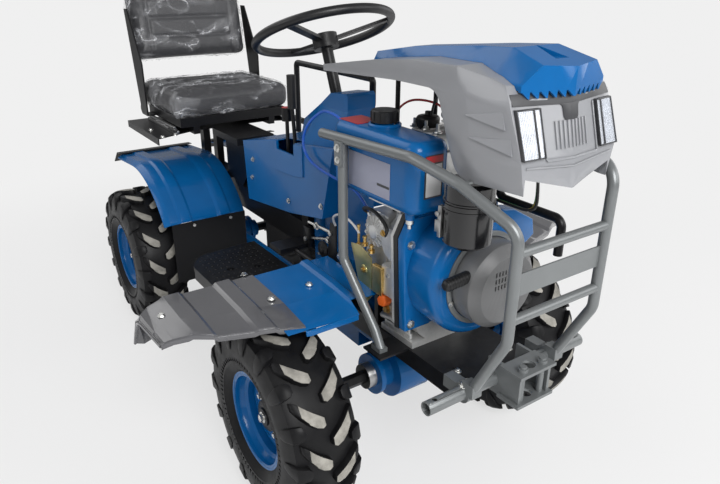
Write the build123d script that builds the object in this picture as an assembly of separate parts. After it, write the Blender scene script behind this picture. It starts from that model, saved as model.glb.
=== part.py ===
from build123d import *
import math
import os

# Compact tractor, hinged in the middle. Millimetres, X forward, Y to the left, Z up from the ground.

# Main sizes that the other places follow.
wheel_base = 1261.0
front_axle_x = 540.0
rear_axle_x = front_axle_x - wheel_base
front_track_half = 410.0
rear_track_half = 380.0
tyre_radius = 280.0
axle_z = tyre_radius
pivot_x = 142.0
running_gap = 0.3
cut_over = 20.0

# Tyre: half section of the casing, with lugs and shoulder blocks out to the tyre's radius.
tyre_half_width = 98.0
tyre_bead_radius = 127.0
tyre_bead_half = 72.0
tyre_bead_width = 14.0
tyre_wall = 12.0
tyre_bulge_share = 0.42
tyre_crown_half = 34.0
tyre_shoulder_half = 80.0
tyre_shoulder_fall = 10.0
lug_count = 12
lug_height = 17.0
lug_inner_y = 6.0
lug_mid_y = 56.0
lug_outer_y = 82.0
lug_inner_width = 24.0
lug_outer_width = 34.0
lug_shift = 22.0
lug_shoulder_fall = 9.0
block_inner_y = 86.0
block_outer_y = 97.0
block_top_fall = 28.0
block_height = 40.0
block_taper = 10.0

# Rim: pressed steel, with a dished disc and a black hub on the hex shaft.
rim_flange_radius = 137.0
rim_flange_width = 4.0
rim_wall = 4.0
rim_well_radius = 112.0
rim_well_half = 44.0
rim_seat_inner = 56.0
rim_disc_offset = 12.0
rim_dish_radius = 70.0
rim_dish_depth = 18.0
hub_radius = 44.0
hub_length = 50.0
hub_cap_radius = 22.0
hub_cap_length = 16.0
hex_across = 34.0

# Axle case: a round housing under each half, with a flange and a zinc cap on both sides.
case_drum_radius = 86.0
case_drum_half = 58.0
case_arm_radius = 50.0
case_flange_radius = 62.0
case_flange_inner = 92.0
case_flange_outer = 108.0
case_cap_radius = 37.5
case_cap_end = 134.0
case_neck_half_x = 60.0
case_neck_half_y = 46.0
case_pad_half_x = 74.0
case_pad_half_y = 108.0
case_pad_height = 12.0
case_nose_radius = 34.0
case_nose_length = 36.0
shaft_line_z = 330.0

# Front chassis: engine plate with ears, two rails, the step frames and the bars below the fenders.
plate_x0 = 600.0
plate_x1 = 930.0
plate_half_width = 125.0
plate_z0 = 469.0
plate_thickness = 6.0
plate_z1 = plate_z0 + plate_thickness
ear_x0 = 655.0
ear_x1 = 730.0
ear_half_width = 215.0
rail_y0 = 70.0
rail_y1 = 110.0
rail_z0 = 409.0
rail_x0 = 200.0
rail_x1 = 900.0
step_rail_y0 = 96.0
step_rail_z0 = 400.0
step_rail_x0 = -205.0
step_bar_width = 24.0
step_bar_half_y = 320.0
hoop_x = 578.0
hoop_half_y = 62.0
hoop_radius = 6.0
fender_bar_width = 16.0
fender_bar_height = 12.0
fender_bar_rear_x = 392.0
fender_bar_front_x = 560.0
fender_bar_reach = 560.0
fender_bar_gap = 1.1

# Bumper tube and its clamps.
bumper_x = 961.0
bumper_z = 489.0
bumper_half_length = 261.0
bumper_radius = 17.0
bumper_wall = 3.0
bumper_hole_radius = 6.0
bumper_hole_inset = 24.0
clamp_radius = 25.0
clamp_width = 30.0
clamp_back = 60.0

# Hitch bracket in the middle of the bumper tube.
hitch_side_y0 = 44.0
hitch_side_y1 = 52.0
hitch_plate_half = 60.0
hitch_x0 = 984.0
hitch_x1 = 1050.0
hitch_z0 = 453.0
hitch_z1 = 540.0
hitch_plate_thickness = 8.0
hitch_side_back = 940.0
hitch_hole_radius = 16.0
hitch_hole_x = 1018.0
hitch_pin_radius = 8.0
hitch_pin_x = 1030.0
hitch_pin_y = 33.0
hitch_pin_over = 14.0
hitch_head_radius = 12.0
hitch_head_height = 9.0

# Bull bar: two bent tubes with struts, cross tubes and a flat bar.
bar_radius = 12.5
bar_x = 1066.0
bar_half = 140.6
bar_side = 207.0
bar_knee_z = 670.0
bar_foot_x = 984.0
bar_foot_z = 508.0
bar_bend_z = 918.0
bar_left_bend_z = 1004.0
bar_mid_x = 936.0
bar_mid_y = 180.0
bar_mid_z = 988.0
bar_left_mid_z = 1010.0
bar_left_mid_y = 188.0
bar_top_x = 815.0
bar_top_z = 1020.0
bar_end_x = 455.0
bar_end_z = 1003.0
bar_bend_radius = 50.0
cross_radius = 11.0
cross_upper_z = 874.0
cross_lower_z = 722.0
flat_bar_z = 802.0
flat_bar_height = 50.0
flat_bar_thickness = 4.0
strut_x = 550.0
strut_knee_z = 688.0
strut_low_x = 672.0
strut_low_y = 190.0
strut_low_z = 524.0
strut_foot_x = 698.0
strut_bend_radius = 40.0
strut_plate_half = 16.0
strut_plate_height = 62.0
tab_width = 14.0
tab_thickness = 5.0
tab_gap = 0.3

# Engine: crankcase, finned cylinder and head, fan shroud and recoil starter.
crank_y = -10.0
crank_z = 705.0
crankcase_x0 = 604.0
crankcase_x1 = 738.0
crankcase_right = -104.0
crankcase_left = 84.0
crankcase_top = 800.0
crankcase_bottom = 492.0
crankcase_chamfer = 30.0
crankcase_foot = 118.0
cover_disc_x = 652.0
cover_disc_z = 742.0
cover_disc_radius = 42.0
cover_disc_depth = 24.0
pump_x0 = 622.0
pump_x1 = 668.0
pump_z0 = 596.0
pump_z1 = 680.0
pump_depth = 30.0
drain_x = 640.0
drain_z = 520.0
drain_radius = 10.0
drain_length = 14.0
head_x0 = 616.0
head_x1 = 730.0
head_right = -66.0
head_left = 70.0
head_top = 985.0
fin_count = 5
fin_over = 10.0
fin_thickness = 3.0
fin_pitch = 12.0
shroud_x1 = 862.0
shroud_radius = 155.0
shroud_edge = 26.0
shroud_neck_half = 72.0
shroud_neck_top = 856.0
shroud_wall = 5.0
shroud_plate_depth = 22.0
shroud_plate_right = -150.0
shroud_plate_low = 556.0
shroud_plate_round = 22.0
recoil_x1 = 940.0
recoil_radius = 105.0
recoil_front_radius = 84.0
recoil_slot_rows = 3
recoil_slot_count = 9
recoil_slot_width = 5.0
recoil_slot_height = 12.0
recoil_slot_pitch = 10.0
recoil_slot_row_pitch = 17.0
recoil_slot_depth = 8.0
handle_length = 70.0
handle_radius = 9.0

# Fuel tank on the right side, with its cap and its bracket.
tank_x0 = 468.0
tank_x1 = 802.0
tank_right = -190.0
tank_left = -76.0
tank_z0 = 870.0
tank_z1 = 1040.0
tank_round = 34.0
tank_cap_x = 606.0
tank_cap_y = -122.0
tank_neck_radius = 24.0
tank_neck_height = 10.0
tank_cap_radius = 33.0
tank_cap_height = 28.0
cap_rib_count = 12
cap_rib_depth = 2.0
tank_bracket_x0 = 610.0
tank_bracket_x1 = 736.0
tank_bracket_right = -170.0
tank_bracket_thickness = 6.0

# Air cleaner canister in front of the tank.
cleaner_x = 902.0
cleaner_y = -116.0
cleaner_radius = 54.0
cleaner_z0 = 834.0
cleaner_z1 = 979.0
cleaner_rim_z = 922.0
cleaner_rim_height = 10.0
cleaner_rim_over = 3.0
cleaner_pipe_radius = 18.0
cleaner_pipe_z = 884.0
cleaner_pipe_y = -22.0
cleaner_edge = 8.0

# Muffler and tail pipe on the left side.
muffler_x0 = 600.0
muffler_x1 = 800.0
muffler_y = 138.0
muffler_z = 930.0
muffler_radius = 46.0
tail_radius = 11.0
tail_z = 850.0
tail_x1 = 954.0
tail_length = 90.0

# Transmission case below the dash, with the pivot housing behind it.
gear_x0 = 205.0
gear_x1 = 420.0
gear_half = 66.0
gear_upper_half = 88.0
gear_z0 = 300.0
gear_mid_z = 480.0
gear_z1 = 600.0
pivot_radius = 45.0
pivot_pin_radius = 20.0
pivot_clearance = 0.05
pivot_z0 = 520.0
pivot_z1 = 680.0
pivot_arm_half = 30.0
boot_radius = 38.0
engine_link_z0 = 498.0
engine_link_half = 50.0

# Sheet covers: gear cover, with a raised panel beside the levers, and the console with the dash box.
sheet = 3.0
cover_half = 120.0
cover_rear_x = -226.0
cover_rear_top_z = 832.0
cover_low_rear_x = -208.0
cover_low_rear_z = 620.0
cover_low_mid_x = 109.0
cover_low_mid_z = 660.0
cover_low_front_x = 303.0
cover_low_front_z = 700.0
cover_front_x = 368.0
cover_front_z = 926.0
cover_ridge_x = 201.0
cover_ridge_z = 905.0
cover_bend_x = 21.0
cover_bend_z = 886.0
slot_x0 = 40.0
slot_x1 = 150.0
slot_y0 = -112.0
slot_y1 = -78.0
slot_drop = 26.0
panel_depth = 5.0
panel_height = 100.0
panel_nose = 12.0
dash_x0 = 212.0
dash_x1 = 335.0
dash_half = 48.0
dash_top_z = 1066.0
dash_shoulder_x = 246.0
dash_shoulder_z = 1058.0
dash_step_x = 192.0
dash_step_z = 1020.0
dash_tail_x = 92.0
dash_tail_z = 958.0
dash_rear_x = 60.0
dash_edge = 8.0
skirt_x0 = 170.0
skirt_x1 = 352.0
skirt_half = 116.0
skirt_top_z = 1022.0
skirt_top_half = 44.0

# Steering: column, hub, rim and spokes on an axis that leans back.
steer_x = 135.0
steer_z = 1215.0
steer_lean = 21.8
steer_radius = 217.0
steer_tube = 13.0
steer_hub_radius = 38.0
steer_hub_height = 40.0
steer_dish = 28.0
spoke_width = 24.0
spoke_thickness = 9.0
spoke_count = 3
column_radius = 17.0
column_gap = 0.3
column_sunk = 190.0

# Levers and pedals.
lever_radius = 6.0
grip_radius = 14.0
grip_length = 95.0
long_lever_x = 120.0
long_lever_top_x = 98.0
long_lever_top_z = 1000.0
lever_y = -95.0
short_lever_x = 62.0
short_lever_top_z = 950.0
short_grip_radius = 16.0
short_grip_length = 42.0
lever_base_z = 800.0
pedal_arm_x = 300.0
pedal_y = 152.0
pedal_z = 566.0
pedal_pad_x = 158.0
pedal_half_x = 36.0
pedal_half_y = 56.0
pedal_thickness = 8.0
pedal_arm_radius = 7.0

# Grab rail on the left of the dash.
grab_radius = 10.0
grab_y = 100.0
grab_z = 1085.0
grab_front_x = 250.0
grab_rear_x = -212.0
grab_root_z = 1000.0

# Hood: grey shell with side arches. Its plan outline is given at four heights.
hood_rear_x = 372.0
hood_rear_half = 148.0
hood_wall = 4.0
hood_low_z = 984.0
hood_low_side_x = 946.0
hood_low_half = 152.0
hood_low_corner_x = 1053.0
hood_low_corner_half = 126.0
hood_low_nose_x = 1068.0
hood_wing_z = 1050.0
hood_wing_side_x = 937.0
hood_wing_half = 160.0
hood_wing_corner_x = 1052.0
hood_wing_corner_half = 140.0
hood_wing_nose_x = 1060.0
hood_brow_z = 1160.0
hood_brow_side_x = 914.0
hood_brow_half = 163.0
hood_brow_corner_x = 1013.0
hood_brow_corner_half = 146.0
hood_brow_nose_x = 1034.0
hood_roof_z = 1212.0
hood_roof_side_x = 884.0
hood_roof_half = 158.0
hood_roof_corner_x = 976.0
hood_roof_corner_half = 132.0
hood_roof_nose_x = 1012.0
roof_rear_z = 1160.0
roof_arm_x = 560.0
roof_arm_z = 1189.0
roof_mid_x = 726.0
roof_mid_z = 1208.0
roof_front_x = 880.0
roof_fall_x = 960.0
roof_fall_z = 1197.0
roof_nose_z = 1160.0
arch_rear_z = 1143.0
arch_mid_x = 687.0
arch_top_z = 1160.0
arch_corner_x = 831.0
arch_corner_radius = 45.0
arch_foot_x = 895.0
arch_foot_z = 990.0
arch_foot_radius = 40.0
panel_low_z = 1018.0
panel_cut_half = 126.0

# Blue top of the hood, with a brow in front, a notch in its middle and teeth below the brow.
top_rear_x = 432.0
top_rear_half = 30.0
top_rear_z = 1190.0
top_arm_x = 600.0
top_arm_half = 50.0
top_arm_z = 1218.0
top_mid_x = 839.0
top_mid_half = 84.0
top_mid_z = 1240.0
top_crest_x = 940.0
top_crest_half = 108.0
top_crest_z = 1246.0
top_corner_x = 1016.0
top_corner_half = 121.0
top_nose_x = 1044.0
top_nose_z = 1212.0
top_flat_share = 0.6
brow_z = 1178.0
brow_wall = 5.0
notch_x = 930.0
notch_half = 34.0
notch_depth = 18.0
tooth_count = 6
tooth_height = 16.0
tooth_thickness = 6.0
lamp_y0 = 84.0
lamp_y1 = 138.0
lamp_z0 = 1058.0
lamp_z1 = 1144.0
lamp_thickness = 6.0
rib_count = 9
rib_pitch = 11.0
rib_width = 4.0
rib_depth = 3.0
rib_z0 = 1066.0
rib_z1 = 1118.0

# Footplates: a plate with a rounded corner, holes and a skirt along its outer side.
step_x0 = -210.0
step_x1 = 262.0
step_y0 = rail_y1 + running_gap
step_y1 = 385.0
step_z0 = 430.0
step_z1 = 448.0
step_corner = 100.0
step_skirt_z0 = 404.0
step_skirt = 5.0
step_hole_radius = 12.0
step_hole_rows = 2
step_hole_count = 3
step_hole_pitch = 88.0

# Front fenders: a blue inner sheet and a grey outer one that laps over it, with a black tip below its end.
fender_inner_y0 = 130.0
fender_lap_y = 378.0
fender_lap_gap = 1.6
fender_inner_y1 = 430.0
fender_outer_y1 = 700.0
fender_top_z = 600.0
fender_low_x = 268.0
fender_low_z = 452.0
fender_bend_x = 312.0
fender_bend_z = 570.0
fender_crest_x = 348.0
fender_mid_x = 540.0
fender_mid_z = 593.0
fender_front_x = 655.0
fender_front_z = 576.0
fender_notch_x = 600.0
fender_bead = 7.0
fender_edge_slope = 9.0
tip_depth = 14.0

# Rear fenders with beads, mud flaps below them and black tips behind them.
guard_radius = 377.0
guard_shift_x = -14.0
guard_shift_z = 8.0
guard_start_degrees = 33.0
guard_turn_degrees = 95.0
guard_rear_x = -985.0
guard_y0 = 50.0
guard_y1 = 375.0
guard_bead = 7.0
guard_bar_x0 = -590.0
guard_bar_x1 = -562.0
guard_bar_half = 330.0
flap_thickness = 4.0
flap_low_z = 250.0
flap_y0 = 46.0
flap_y1 = 348.0
guard_tip_length = 62.0
guard_tip_fall = 52.0
guard_tip_lap = 40.0

# Rear beam with the hinge lugs and pin.
lug_thickness = 14.0
beam_half = 44.0
beam_z0 = 505.0
beam_z1 = 595.0
beam_rear_x = -845.0
web_x0 = 44.0
web_x1 = 88.0
rear_shaft_radius = 20.0
rear_shaft_front = 98.0

# Seat frame: tray with a tongue on four posts, slide rails, pan, cushion and back.
post_x0 = -560.0
post_x1 = -520.0
post_y0 = 14.0
post_y1 = 44.0
rear_post_x0 = -840.0
rear_post_x1 = -800.0
tray_x0 = -938.0
tray_x1 = -547.0
tray_half = 322.0
tray_bend_x = -610.0
tray_bend_half = 150.0
tongue_x = -372.0
tongue_half = 78.0
tray_z0 = 773.0
tray_z1 = 800.0
tray_wall = 4.0
pedestal_x0 = -524.0
pedestal_x1 = -384.0
pedestal_low_x = -424.0
pedestal_bend_z = 640.0
slide_y0 = 150.0
slide_y1 = 176.0
pan_x0 = -930.0
pan_x1 = -552.0
pan_half = 226.0
pan_z0 = 826.0
pan_z1 = 862.0
pan_wall = 4.0
cushion_x0 = -965.0
cushion_x1 = -535.0
cushion_half = 255.0
cushion_height = 96.0
cushion_round = 34.0
back_low_x = -925.0
back_low_z = 1037.0
back_half = 256.0
back_height = 410.0
back_thickness = 92.0
back_lean = 10.0
side_bar_y0 = back_half + running_gap
side_bar_y1 = 263.0
side_bar_width = 34.0
side_bar_low_x = -880.0

# Rear hitch.
draw_x0 = -905.0
draw_half = 55.0
draw_z0 = 318.0
draw_thickness = 14.0
draw_hole_radius = 13.0
draw_hole_inset = 30.0

both_sides = (1, -1)


def block(x0, x1, y0, y1, z0, z1):
    # A box given by its faces, in any order.
    size = (abs(x1 - x0), abs(y1 - y0), abs(z1 - z0))
    return Pos((x0 + x1) / 2, (y0 + y1) / 2, (z0 + z1) / 2) * Box(*size)


def rod_x(x0, x1, y, z, radius):
    # A round bar along X.
    return Pos((x0 + x1) / 2, y, z) * Rot(0, 90, 0) * Cylinder(radius, abs(x1 - x0))


def rod_y(x, y0, y1, z, radius):
    # A round bar along Y.
    return Pos(x, (y0 + y1) / 2, z) * Rot(90, 0, 0) * Cylinder(radius, abs(y1 - y0))


def rod_z(x, y, z0, z1, radius):
    # An upright round bar.
    return Pos(x, y, (z0 + z1) / 2) * Cylinder(radius, abs(z1 - z0))


def tube(points, radius, bend):
    # A bent bar through the points, with an arc of the same radius at each inner corner.
    path = FilletPolyline(*points, radius=bend) if len(points) > 2 else Line(*points)
    start = Plane(origin=path @ 0, z_dir=path % 0)
    return sweep(start * Circle(radius), path=path)


def side_sheet(points, y0, y1):
    # A solid with the given outline in X and Z, between two Y places.
    face = make_face(Polyline(*[(x, 0, z) for x, z in points], close=True))
    low, high = min(y0, y1), max(y0, y1)
    solid = extrude(face, amount=high - low, dir=(0, 1, 0))
    return Pos(0, low, 0) * solid


def plan_sheet(points, z0, z1):
    # A solid with the given outline in X and Y, between two heights.
    face = make_face(Polyline(*points, close=True))
    return Pos(0, 0, z0) * extrude(face, amount=z1 - z0, dir=(0, 0, 1))


def cross_sheet(points, x0, x1):
    # A solid with the given outline in Y and Z, between two X places.
    face = make_face(Polyline(*[(0, y, z) for y, z in points], close=True))
    return Pos(x0, 0, 0) * extrude(face, amount=x1 - x0, dir=(1, 0, 0))


def both(solid):
    # The solid and its mirror image on the other side.
    return Compound(children=list(solid.solids()) + list(mirror(solid, about=Plane.XZ).solids()))


def ring_section(points):
    # A ring about the Y axis from radius and width pairs.
    face = make_face(Polyline(*points, close=True))
    return revolve(face, axis=Axis.Y)


# Wheels. Each is made about the Y axis with its outer side towards +Y.

def rung(y, low_x, high_x, low_z, high_z):
    # A flat four-cornered section at one Y place.
    return make_face(Polyline((low_x, y, low_z), (high_x, y, low_z), (high_x, y, high_z),
                              (low_x, y, high_z), close=True))


def make_lug():
    # One lug at the top of the wheel, its inner end ahead of its outer end, with the shoulder block beside it.
    crown = tyre_radius - lug_height
    shoulder = crown - tyre_shoulder_fall
    mid_shift = 0
    # Columns: Y place, middle in X, width, root, top.
    stations = [
        (lug_inner_y, lug_shift, lug_inner_width, crown - tyre_wall / 2, tyre_radius),
        (lug_mid_y, mid_shift, lug_outer_width, crown - tyre_wall, tyre_radius),
        (lug_outer_y, -lug_shift / 2, lug_outer_width, shoulder - tyre_wall, tyre_radius - lug_shoulder_fall),
    ]
    sections = []
    for y, middle, width, root, top in stations:
        reach = abs(middle) + width / 2
        sections.append(rung(y, middle - width / 2, middle + width / 2, root, math.sqrt(top ** 2 - reach ** 2)))
    lug = loft(sections, ruled=True)
    low = tyre_radius - block_top_fall - block_height
    middle = -lug_shift / 2
    edge = lug_outer_width / 2
    block_sections = [
        rung(block_inner_y, middle - edge, middle + edge, low, tyre_radius - block_top_fall),
        rung(block_outer_y, middle - edge, middle + edge, low, tyre_radius - block_top_fall - block_taper),
    ]
    return lug, loft(block_sections, ruled=True)


def make_tyre():
    crown = tyre_radius - lug_height
    shoulder = crown - tyre_shoulder_fall
    bulge_radius = tyre_bead_radius + (shoulder - tyre_bead_radius) * tyre_bulge_share
    outer = [
        (tyre_bead_radius, tyre_bead_half),
        (rim_flange_radius, tyre_bead_half),
        (bulge_radius, tyre_half_width),
        (shoulder, tyre_shoulder_half),
        (crown, tyre_crown_half),
    ]
    inner = [
        (crown - tyre_wall, tyre_crown_half - tyre_wall / 2),
        (shoulder - tyre_wall, tyre_shoulder_half - tyre_wall),
        (bulge_radius, tyre_half_width - tyre_wall),
        (tyre_bead_radius, tyre_bead_half - tyre_bead_width),
    ]
    right = [(r, -y) for r, y in reversed(outer)]
    right_inner = [(r, -y) for r, y in reversed(inner)]
    casing = ring_section(outer + right + right_inner + inner)
    blocks = []
    pitch = 360 / lug_count
    for solid in make_lug():
        for index in range(lug_count):
            blocks.append(Rot(0, index * pitch, 0) * solid)
            blocks.append(Rot(0, (index + 1 / 2) * pitch, 0) * mirror(solid, about=Plane.XZ))
    return casing.fuse(*blocks)


def make_rim(track_half):
    flange_half = tyre_bead_half + rim_flange_width
    outer = [
        (rim_flange_radius, flange_half),
        (rim_flange_radius, tyre_bead_half),
        (tyre_bead_radius, tyre_bead_half),
        (tyre_bead_radius, rim_seat_inner),
        (rim_well_radius, rim_well_half),
    ]
    inner = [(r - rim_wall, y) for r, y in reversed(outer[3:])]
    inner.append((tyre_bead_radius - rim_wall, flange_half))
    right = [(r, -y) for r, y in reversed(outer)]
    right_inner = [(r, -y) for r, y in reversed(inner)]
    barrel = ring_section(outer + right + right_inner + inner)
    disc_back = rim_disc_offset
    dish_back = rim_disc_offset + rim_dish_depth
    disc = ring_section([
        (0, dish_back),
        (rim_dish_radius, dish_back),
        (rim_well_radius - rim_wall / 2, disc_back),
        (rim_well_radius - rim_wall / 2, disc_back + rim_wall),
        (rim_dish_radius, dish_back + rim_wall),
        (0, dish_back + rim_wall),
    ])
    hub_front = dish_back + rim_wall
    hub = rod_y(0, hub_front - hub_length, hub_front, 0, hub_radius)
    cap = rod_y(0, hub_front, hub_front + hub_cap_length, 0, hub_cap_radius)
    shaft_end = case_cap_end + running_gap - track_half
    hexagon = RegularPolygon(hex_across / 2, 6, major_radius=False)
    shaft_length = hub_front - shaft_end
    shaft = Pos(0, hub_front, 0) * Rot(90, 0, 0) * extrude(hexagon, amount=shaft_length)
    return barrel + disc + hub + cap + shaft


def axle_case(axle_x, seat_z, nose_sign):
    # Housing of one axle, up to the seat below the frame, with its nose towards the drive shaft.
    drum = rod_y(axle_x, -case_drum_half, case_drum_half, axle_z, case_drum_radius)
    arms = rod_y(axle_x, -case_flange_inner, case_flange_inner, axle_z, case_arm_radius)
    neck = block(axle_x - case_neck_half_x, axle_x + case_neck_half_x,
                 -case_neck_half_y, case_neck_half_y, axle_z, seat_z - case_pad_height)
    pad = block(axle_x - case_pad_half_x, axle_x + case_pad_half_x,
                -case_pad_half_y, case_pad_half_y, seat_z - case_pad_height, seat_z)
    nose_start = axle_x + nose_sign * case_neck_half_x
    nose = rod_x(nose_start, nose_start + nose_sign * case_nose_length, 0, shaft_line_z, case_nose_radius)
    housing = drum + arms + neck + pad + nose
    for side in both_sides:
        housing += rod_y(axle_x, side * case_flange_inner, side * case_flange_outer, axle_z, case_flange_radius)
        housing += rod_y(axle_x, side * case_flange_outer, side * case_cap_end, axle_z, case_cap_radius)
    return housing


# Front half.

def make_chassis():
    plate = plan_sheet([
        (plate_x0, plate_half_width), (ear_x0, plate_half_width), (ear_x0, ear_half_width),
        (ear_x1, ear_half_width), (ear_x1, plate_half_width), (plate_x1, plate_half_width),
        (plate_x1, -plate_half_width), (ear_x1, -plate_half_width), (ear_x1, -ear_half_width),
        (ear_x0, -ear_half_width), (ear_x0, -plate_half_width), (plate_x0, -plate_half_width),
    ], plate_z0, plate_z1)
    frame = plate
    for side in both_sides:
        frame += block(rail_x0, rail_x1, side * rail_y0, side * rail_y1, rail_z0, plate_z0)
    hoop_top = hood_line(hoop_x) - hood_wall - running_gap
    low = plate_z0 - hoop_radius
    hoop = tube([(hoop_x, -hoop_half_y, low), (hoop_x, -hoop_half_y, hoop_top - hoop_radius),
                 (hoop_x, hoop_half_y, hoop_top - hoop_radius), (hoop_x, hoop_half_y, low)],
                hoop_radius, hoop_radius * 3)
    feet = block(hoop_x - hoop_radius, plate_x0, -hoop_half_y - hoop_radius, hoop_half_y + hoop_radius,
                 plate_z0 - plate_thickness, plate_z0)
    feet += block(hoop_x - hoop_radius, plate_x0 + plate_thickness, -rail_y1, rail_y1,
                  plate_z0 - plate_thickness, plate_z0)
    return frame + hoop + feet


def make_step_frames():
    frame = block(step_rail_x0, rail_x0, step_rail_y0, rail_y1, step_rail_z0, step_z0)
    for bar_place in (step_rail_x0, -step_bar_width, rail_x0 - step_bar_width):
        frame += block(bar_place, bar_place + step_bar_width, step_rail_y0, step_bar_half_y,
                       step_z0 - step_bar_width / 2, step_z0)
    return both(frame)


def make_fender_bars():
    bars = []
    for place in (fender_bar_rear_x, fender_bar_front_x):
        top = fender_height(place + fender_bar_width) - sheet - fender_bar_gap
        bar = block(place, place + fender_bar_width, rail_y1 - fender_bar_width, rail_y1, plate_z0, top)
        bar += block(place, place + fender_bar_width, rail_y1 - fender_bar_width, fender_bar_reach,
                     top - fender_bar_height, top)
        bars += both(bar).solids()
    return Compound(children=bars)


def make_bumper():
    bar = rod_y(bumper_x, -bumper_half_length, bumper_half_length, bumper_z, bumper_radius)
    bar -= rod_y(bumper_x, -bumper_half_length, bumper_half_length, bumper_z, bumper_radius - bumper_wall)
    for side in both_sides:
        hole_y = side * (bumper_half_length - bumper_hole_inset)
        bar -= rod_z(bumper_x, hole_y, bumper_z - clamp_radius, bumper_z + clamp_radius, bumper_hole_radius)
    return bar


def make_bull_bar():
    pieces = []
    rises = {1: (bar_left_bend_z, bar_left_mid_y, bar_left_mid_z), -1: (bar_bend_z, bar_mid_y, bar_mid_z)}
    for side in both_sides:
        bend_z, mid_y, mid_z = rises[side]
        loop = tube([
            (bar_foot_x, side * bar_half, bar_foot_z),
            (bar_x, side * bar_half, bar_knee_z),
            (bar_x, side * bar_half, bend_z),
            (bar_mid_x, side * mid_y, mid_z),
            (bar_top_x, side * bar_side, bar_top_z),
            (bar_end_x, side * bar_side, bar_end_z),
        ], bar_radius, bar_bend_radius)
        strut = tube([
            (strut_x, side * bar_side, bar_end_z),
            (strut_x, side * bar_side, strut_knee_z),
            (strut_low_x, side * strut_low_y, strut_low_z),
            (strut_foot_x, side * strut_low_y, plate_z1 + bar_radius / 2),
        ], bar_radius, strut_bend_radius)
        strut_plate = block(strut_x - strut_plate_half, strut_x + strut_plate_half,
                            side * (bar_side + bar_radius - tab_thickness / 2),
                            side * (bar_side + bar_radius + tab_thickness / 2),
                            bar_end_z - strut_plate_height, bar_end_z)
        foot = block(strut_foot_x - bar_radius * 2, strut_foot_x + bar_radius, side * (strut_low_y - bar_radius),
                     side * (strut_low_y + bar_radius), plate_z1, plate_z1 + bar_radius)
        clamp = rod_y(bumper_x, side * (bar_half - clamp_width / 2), side * (bar_half + clamp_width / 2),
                      bumper_z, clamp_radius)
        clamp += block(bumper_x, bar_foot_x + bar_radius, side * (bar_half - clamp_width / 2),
                       side * (bar_half + clamp_width / 2), bumper_z, bar_foot_z + bar_radius)
        clamp += block(bumper_x - clamp_back, bumper_x, side * (bar_half - clamp_width / 2),
                       side * (bar_half + clamp_width / 2), plate_z1, bumper_z + bumper_radius)
        clamp -= rod_y(bumper_x, side * (bar_half - clamp_width), side * (bar_half + clamp_width),
                       bumper_z, bumper_radius)
        tab_z = mid_z + tab_thickness
        wing_share = (tab_z - hood_low_z) / (hood_wing_z - hood_low_z)
        hood_side = hood_low_half + (hood_wing_half - hood_low_half) * wing_share
        tab = block(hood_low_side_x - tab_width, hood_low_side_x, side * (hood_side + tab_gap),
                    side * mid_y, mid_z, tab_z)
        pieces += [loop, strut, strut_plate, foot, clamp, tab]
    for height in (cross_upper_z, cross_lower_z):
        pieces.append(rod_y(bar_x, -bar_half, bar_half, height, cross_radius))
    pieces.append(block(bar_x - flat_bar_thickness / 2, bar_x + flat_bar_thickness / 2, -bar_half, bar_half,
                        flat_bar_z - flat_bar_height / 2, flat_bar_z + flat_bar_height / 2))
    whole = pieces[0]
    for piece in pieces[1:]:
        whole += piece
    return whole


def make_hitch():
    bracket = block(hitch_x0, hitch_x1, -hitch_plate_half, hitch_plate_half,
                    hitch_z1 - hitch_plate_thickness, hitch_z1)
    bracket += block(hitch_x0, hitch_x1, -hitch_plate_half, hitch_plate_half,
                     hitch_z0, hitch_z0 + hitch_plate_thickness)
    for side in both_sides:
        bracket += block(hitch_side_back, hitch_x1 - hitch_plate_thickness, side * hitch_side_y0,
                         side * hitch_side_y1, hitch_z0, hitch_z1)
    bracket -= rod_z(hitch_hole_x, 0, hitch_z0 - cut_over, hitch_z1 + cut_over, hitch_hole_radius)
    bracket -= rod_y(bumper_x, -hitch_plate_half, hitch_plate_half, bumper_z, bumper_radius)
    for side in both_sides:
        bracket += rod_z(hitch_pin_x, side * hitch_pin_y, hitch_z0 - hitch_pin_over,
                         hitch_z1 + hitch_pin_over, hitch_pin_radius)
        bracket += rod_z(hitch_pin_x, side * hitch_pin_y, hitch_z1, hitch_z1 + hitch_head_height,
                         hitch_head_radius)
    return bracket


def make_crankcase():
    chamfer_low = crankcase_chamfer
    body = cross_sheet([
        (crankcase_right + chamfer_low, crankcase_bottom), (crankcase_left - chamfer_low, crankcase_bottom),
        (crankcase_left, crankcase_bottom + chamfer_low), (crankcase_left, crankcase_top - chamfer_low),
        (crankcase_left - chamfer_low, crankcase_top), (crankcase_right + chamfer_low, crankcase_top),
        (crankcase_right, crankcase_top - chamfer_low), (crankcase_right, crankcase_bottom + chamfer_low),
    ], crankcase_x0, crankcase_x1)
    body += block(crankcase_x0, crankcase_x1, -crankcase_foot, crankcase_foot - cut_over, plate_z1,
                  crankcase_bottom)
    disc = rod_y(cover_disc_x, crankcase_right - cover_disc_depth, crankcase_right, cover_disc_z,
                 cover_disc_radius)
    body += disc
    body += block(pump_x0, pump_x1, crankcase_right - pump_depth, crankcase_right, pump_z0, pump_z1)
    body += rod_y(drain_x, crankcase_right - drain_length, crankcase_right, drain_z + crankcase_chamfer,
                  drain_radius)
    return body


def make_head():
    cylinder = block(head_x0, head_x1, head_right, head_left, crankcase_top, head_top)
    for index in range(fin_count):
        low = crankcase_top + fin_pitch * (index + 1 / 2)
        cylinder += block(head_x0 - fin_over, head_x1, head_right - fin_over, head_left + fin_over,
                          low, low + fin_thickness)
    bracket = block(tank_bracket_x0, tank_bracket_x1, tank_bracket_right, head_right,
                    tank_z0 - tank_bracket_thickness, tank_z0)
    return cylinder + bracket


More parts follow.
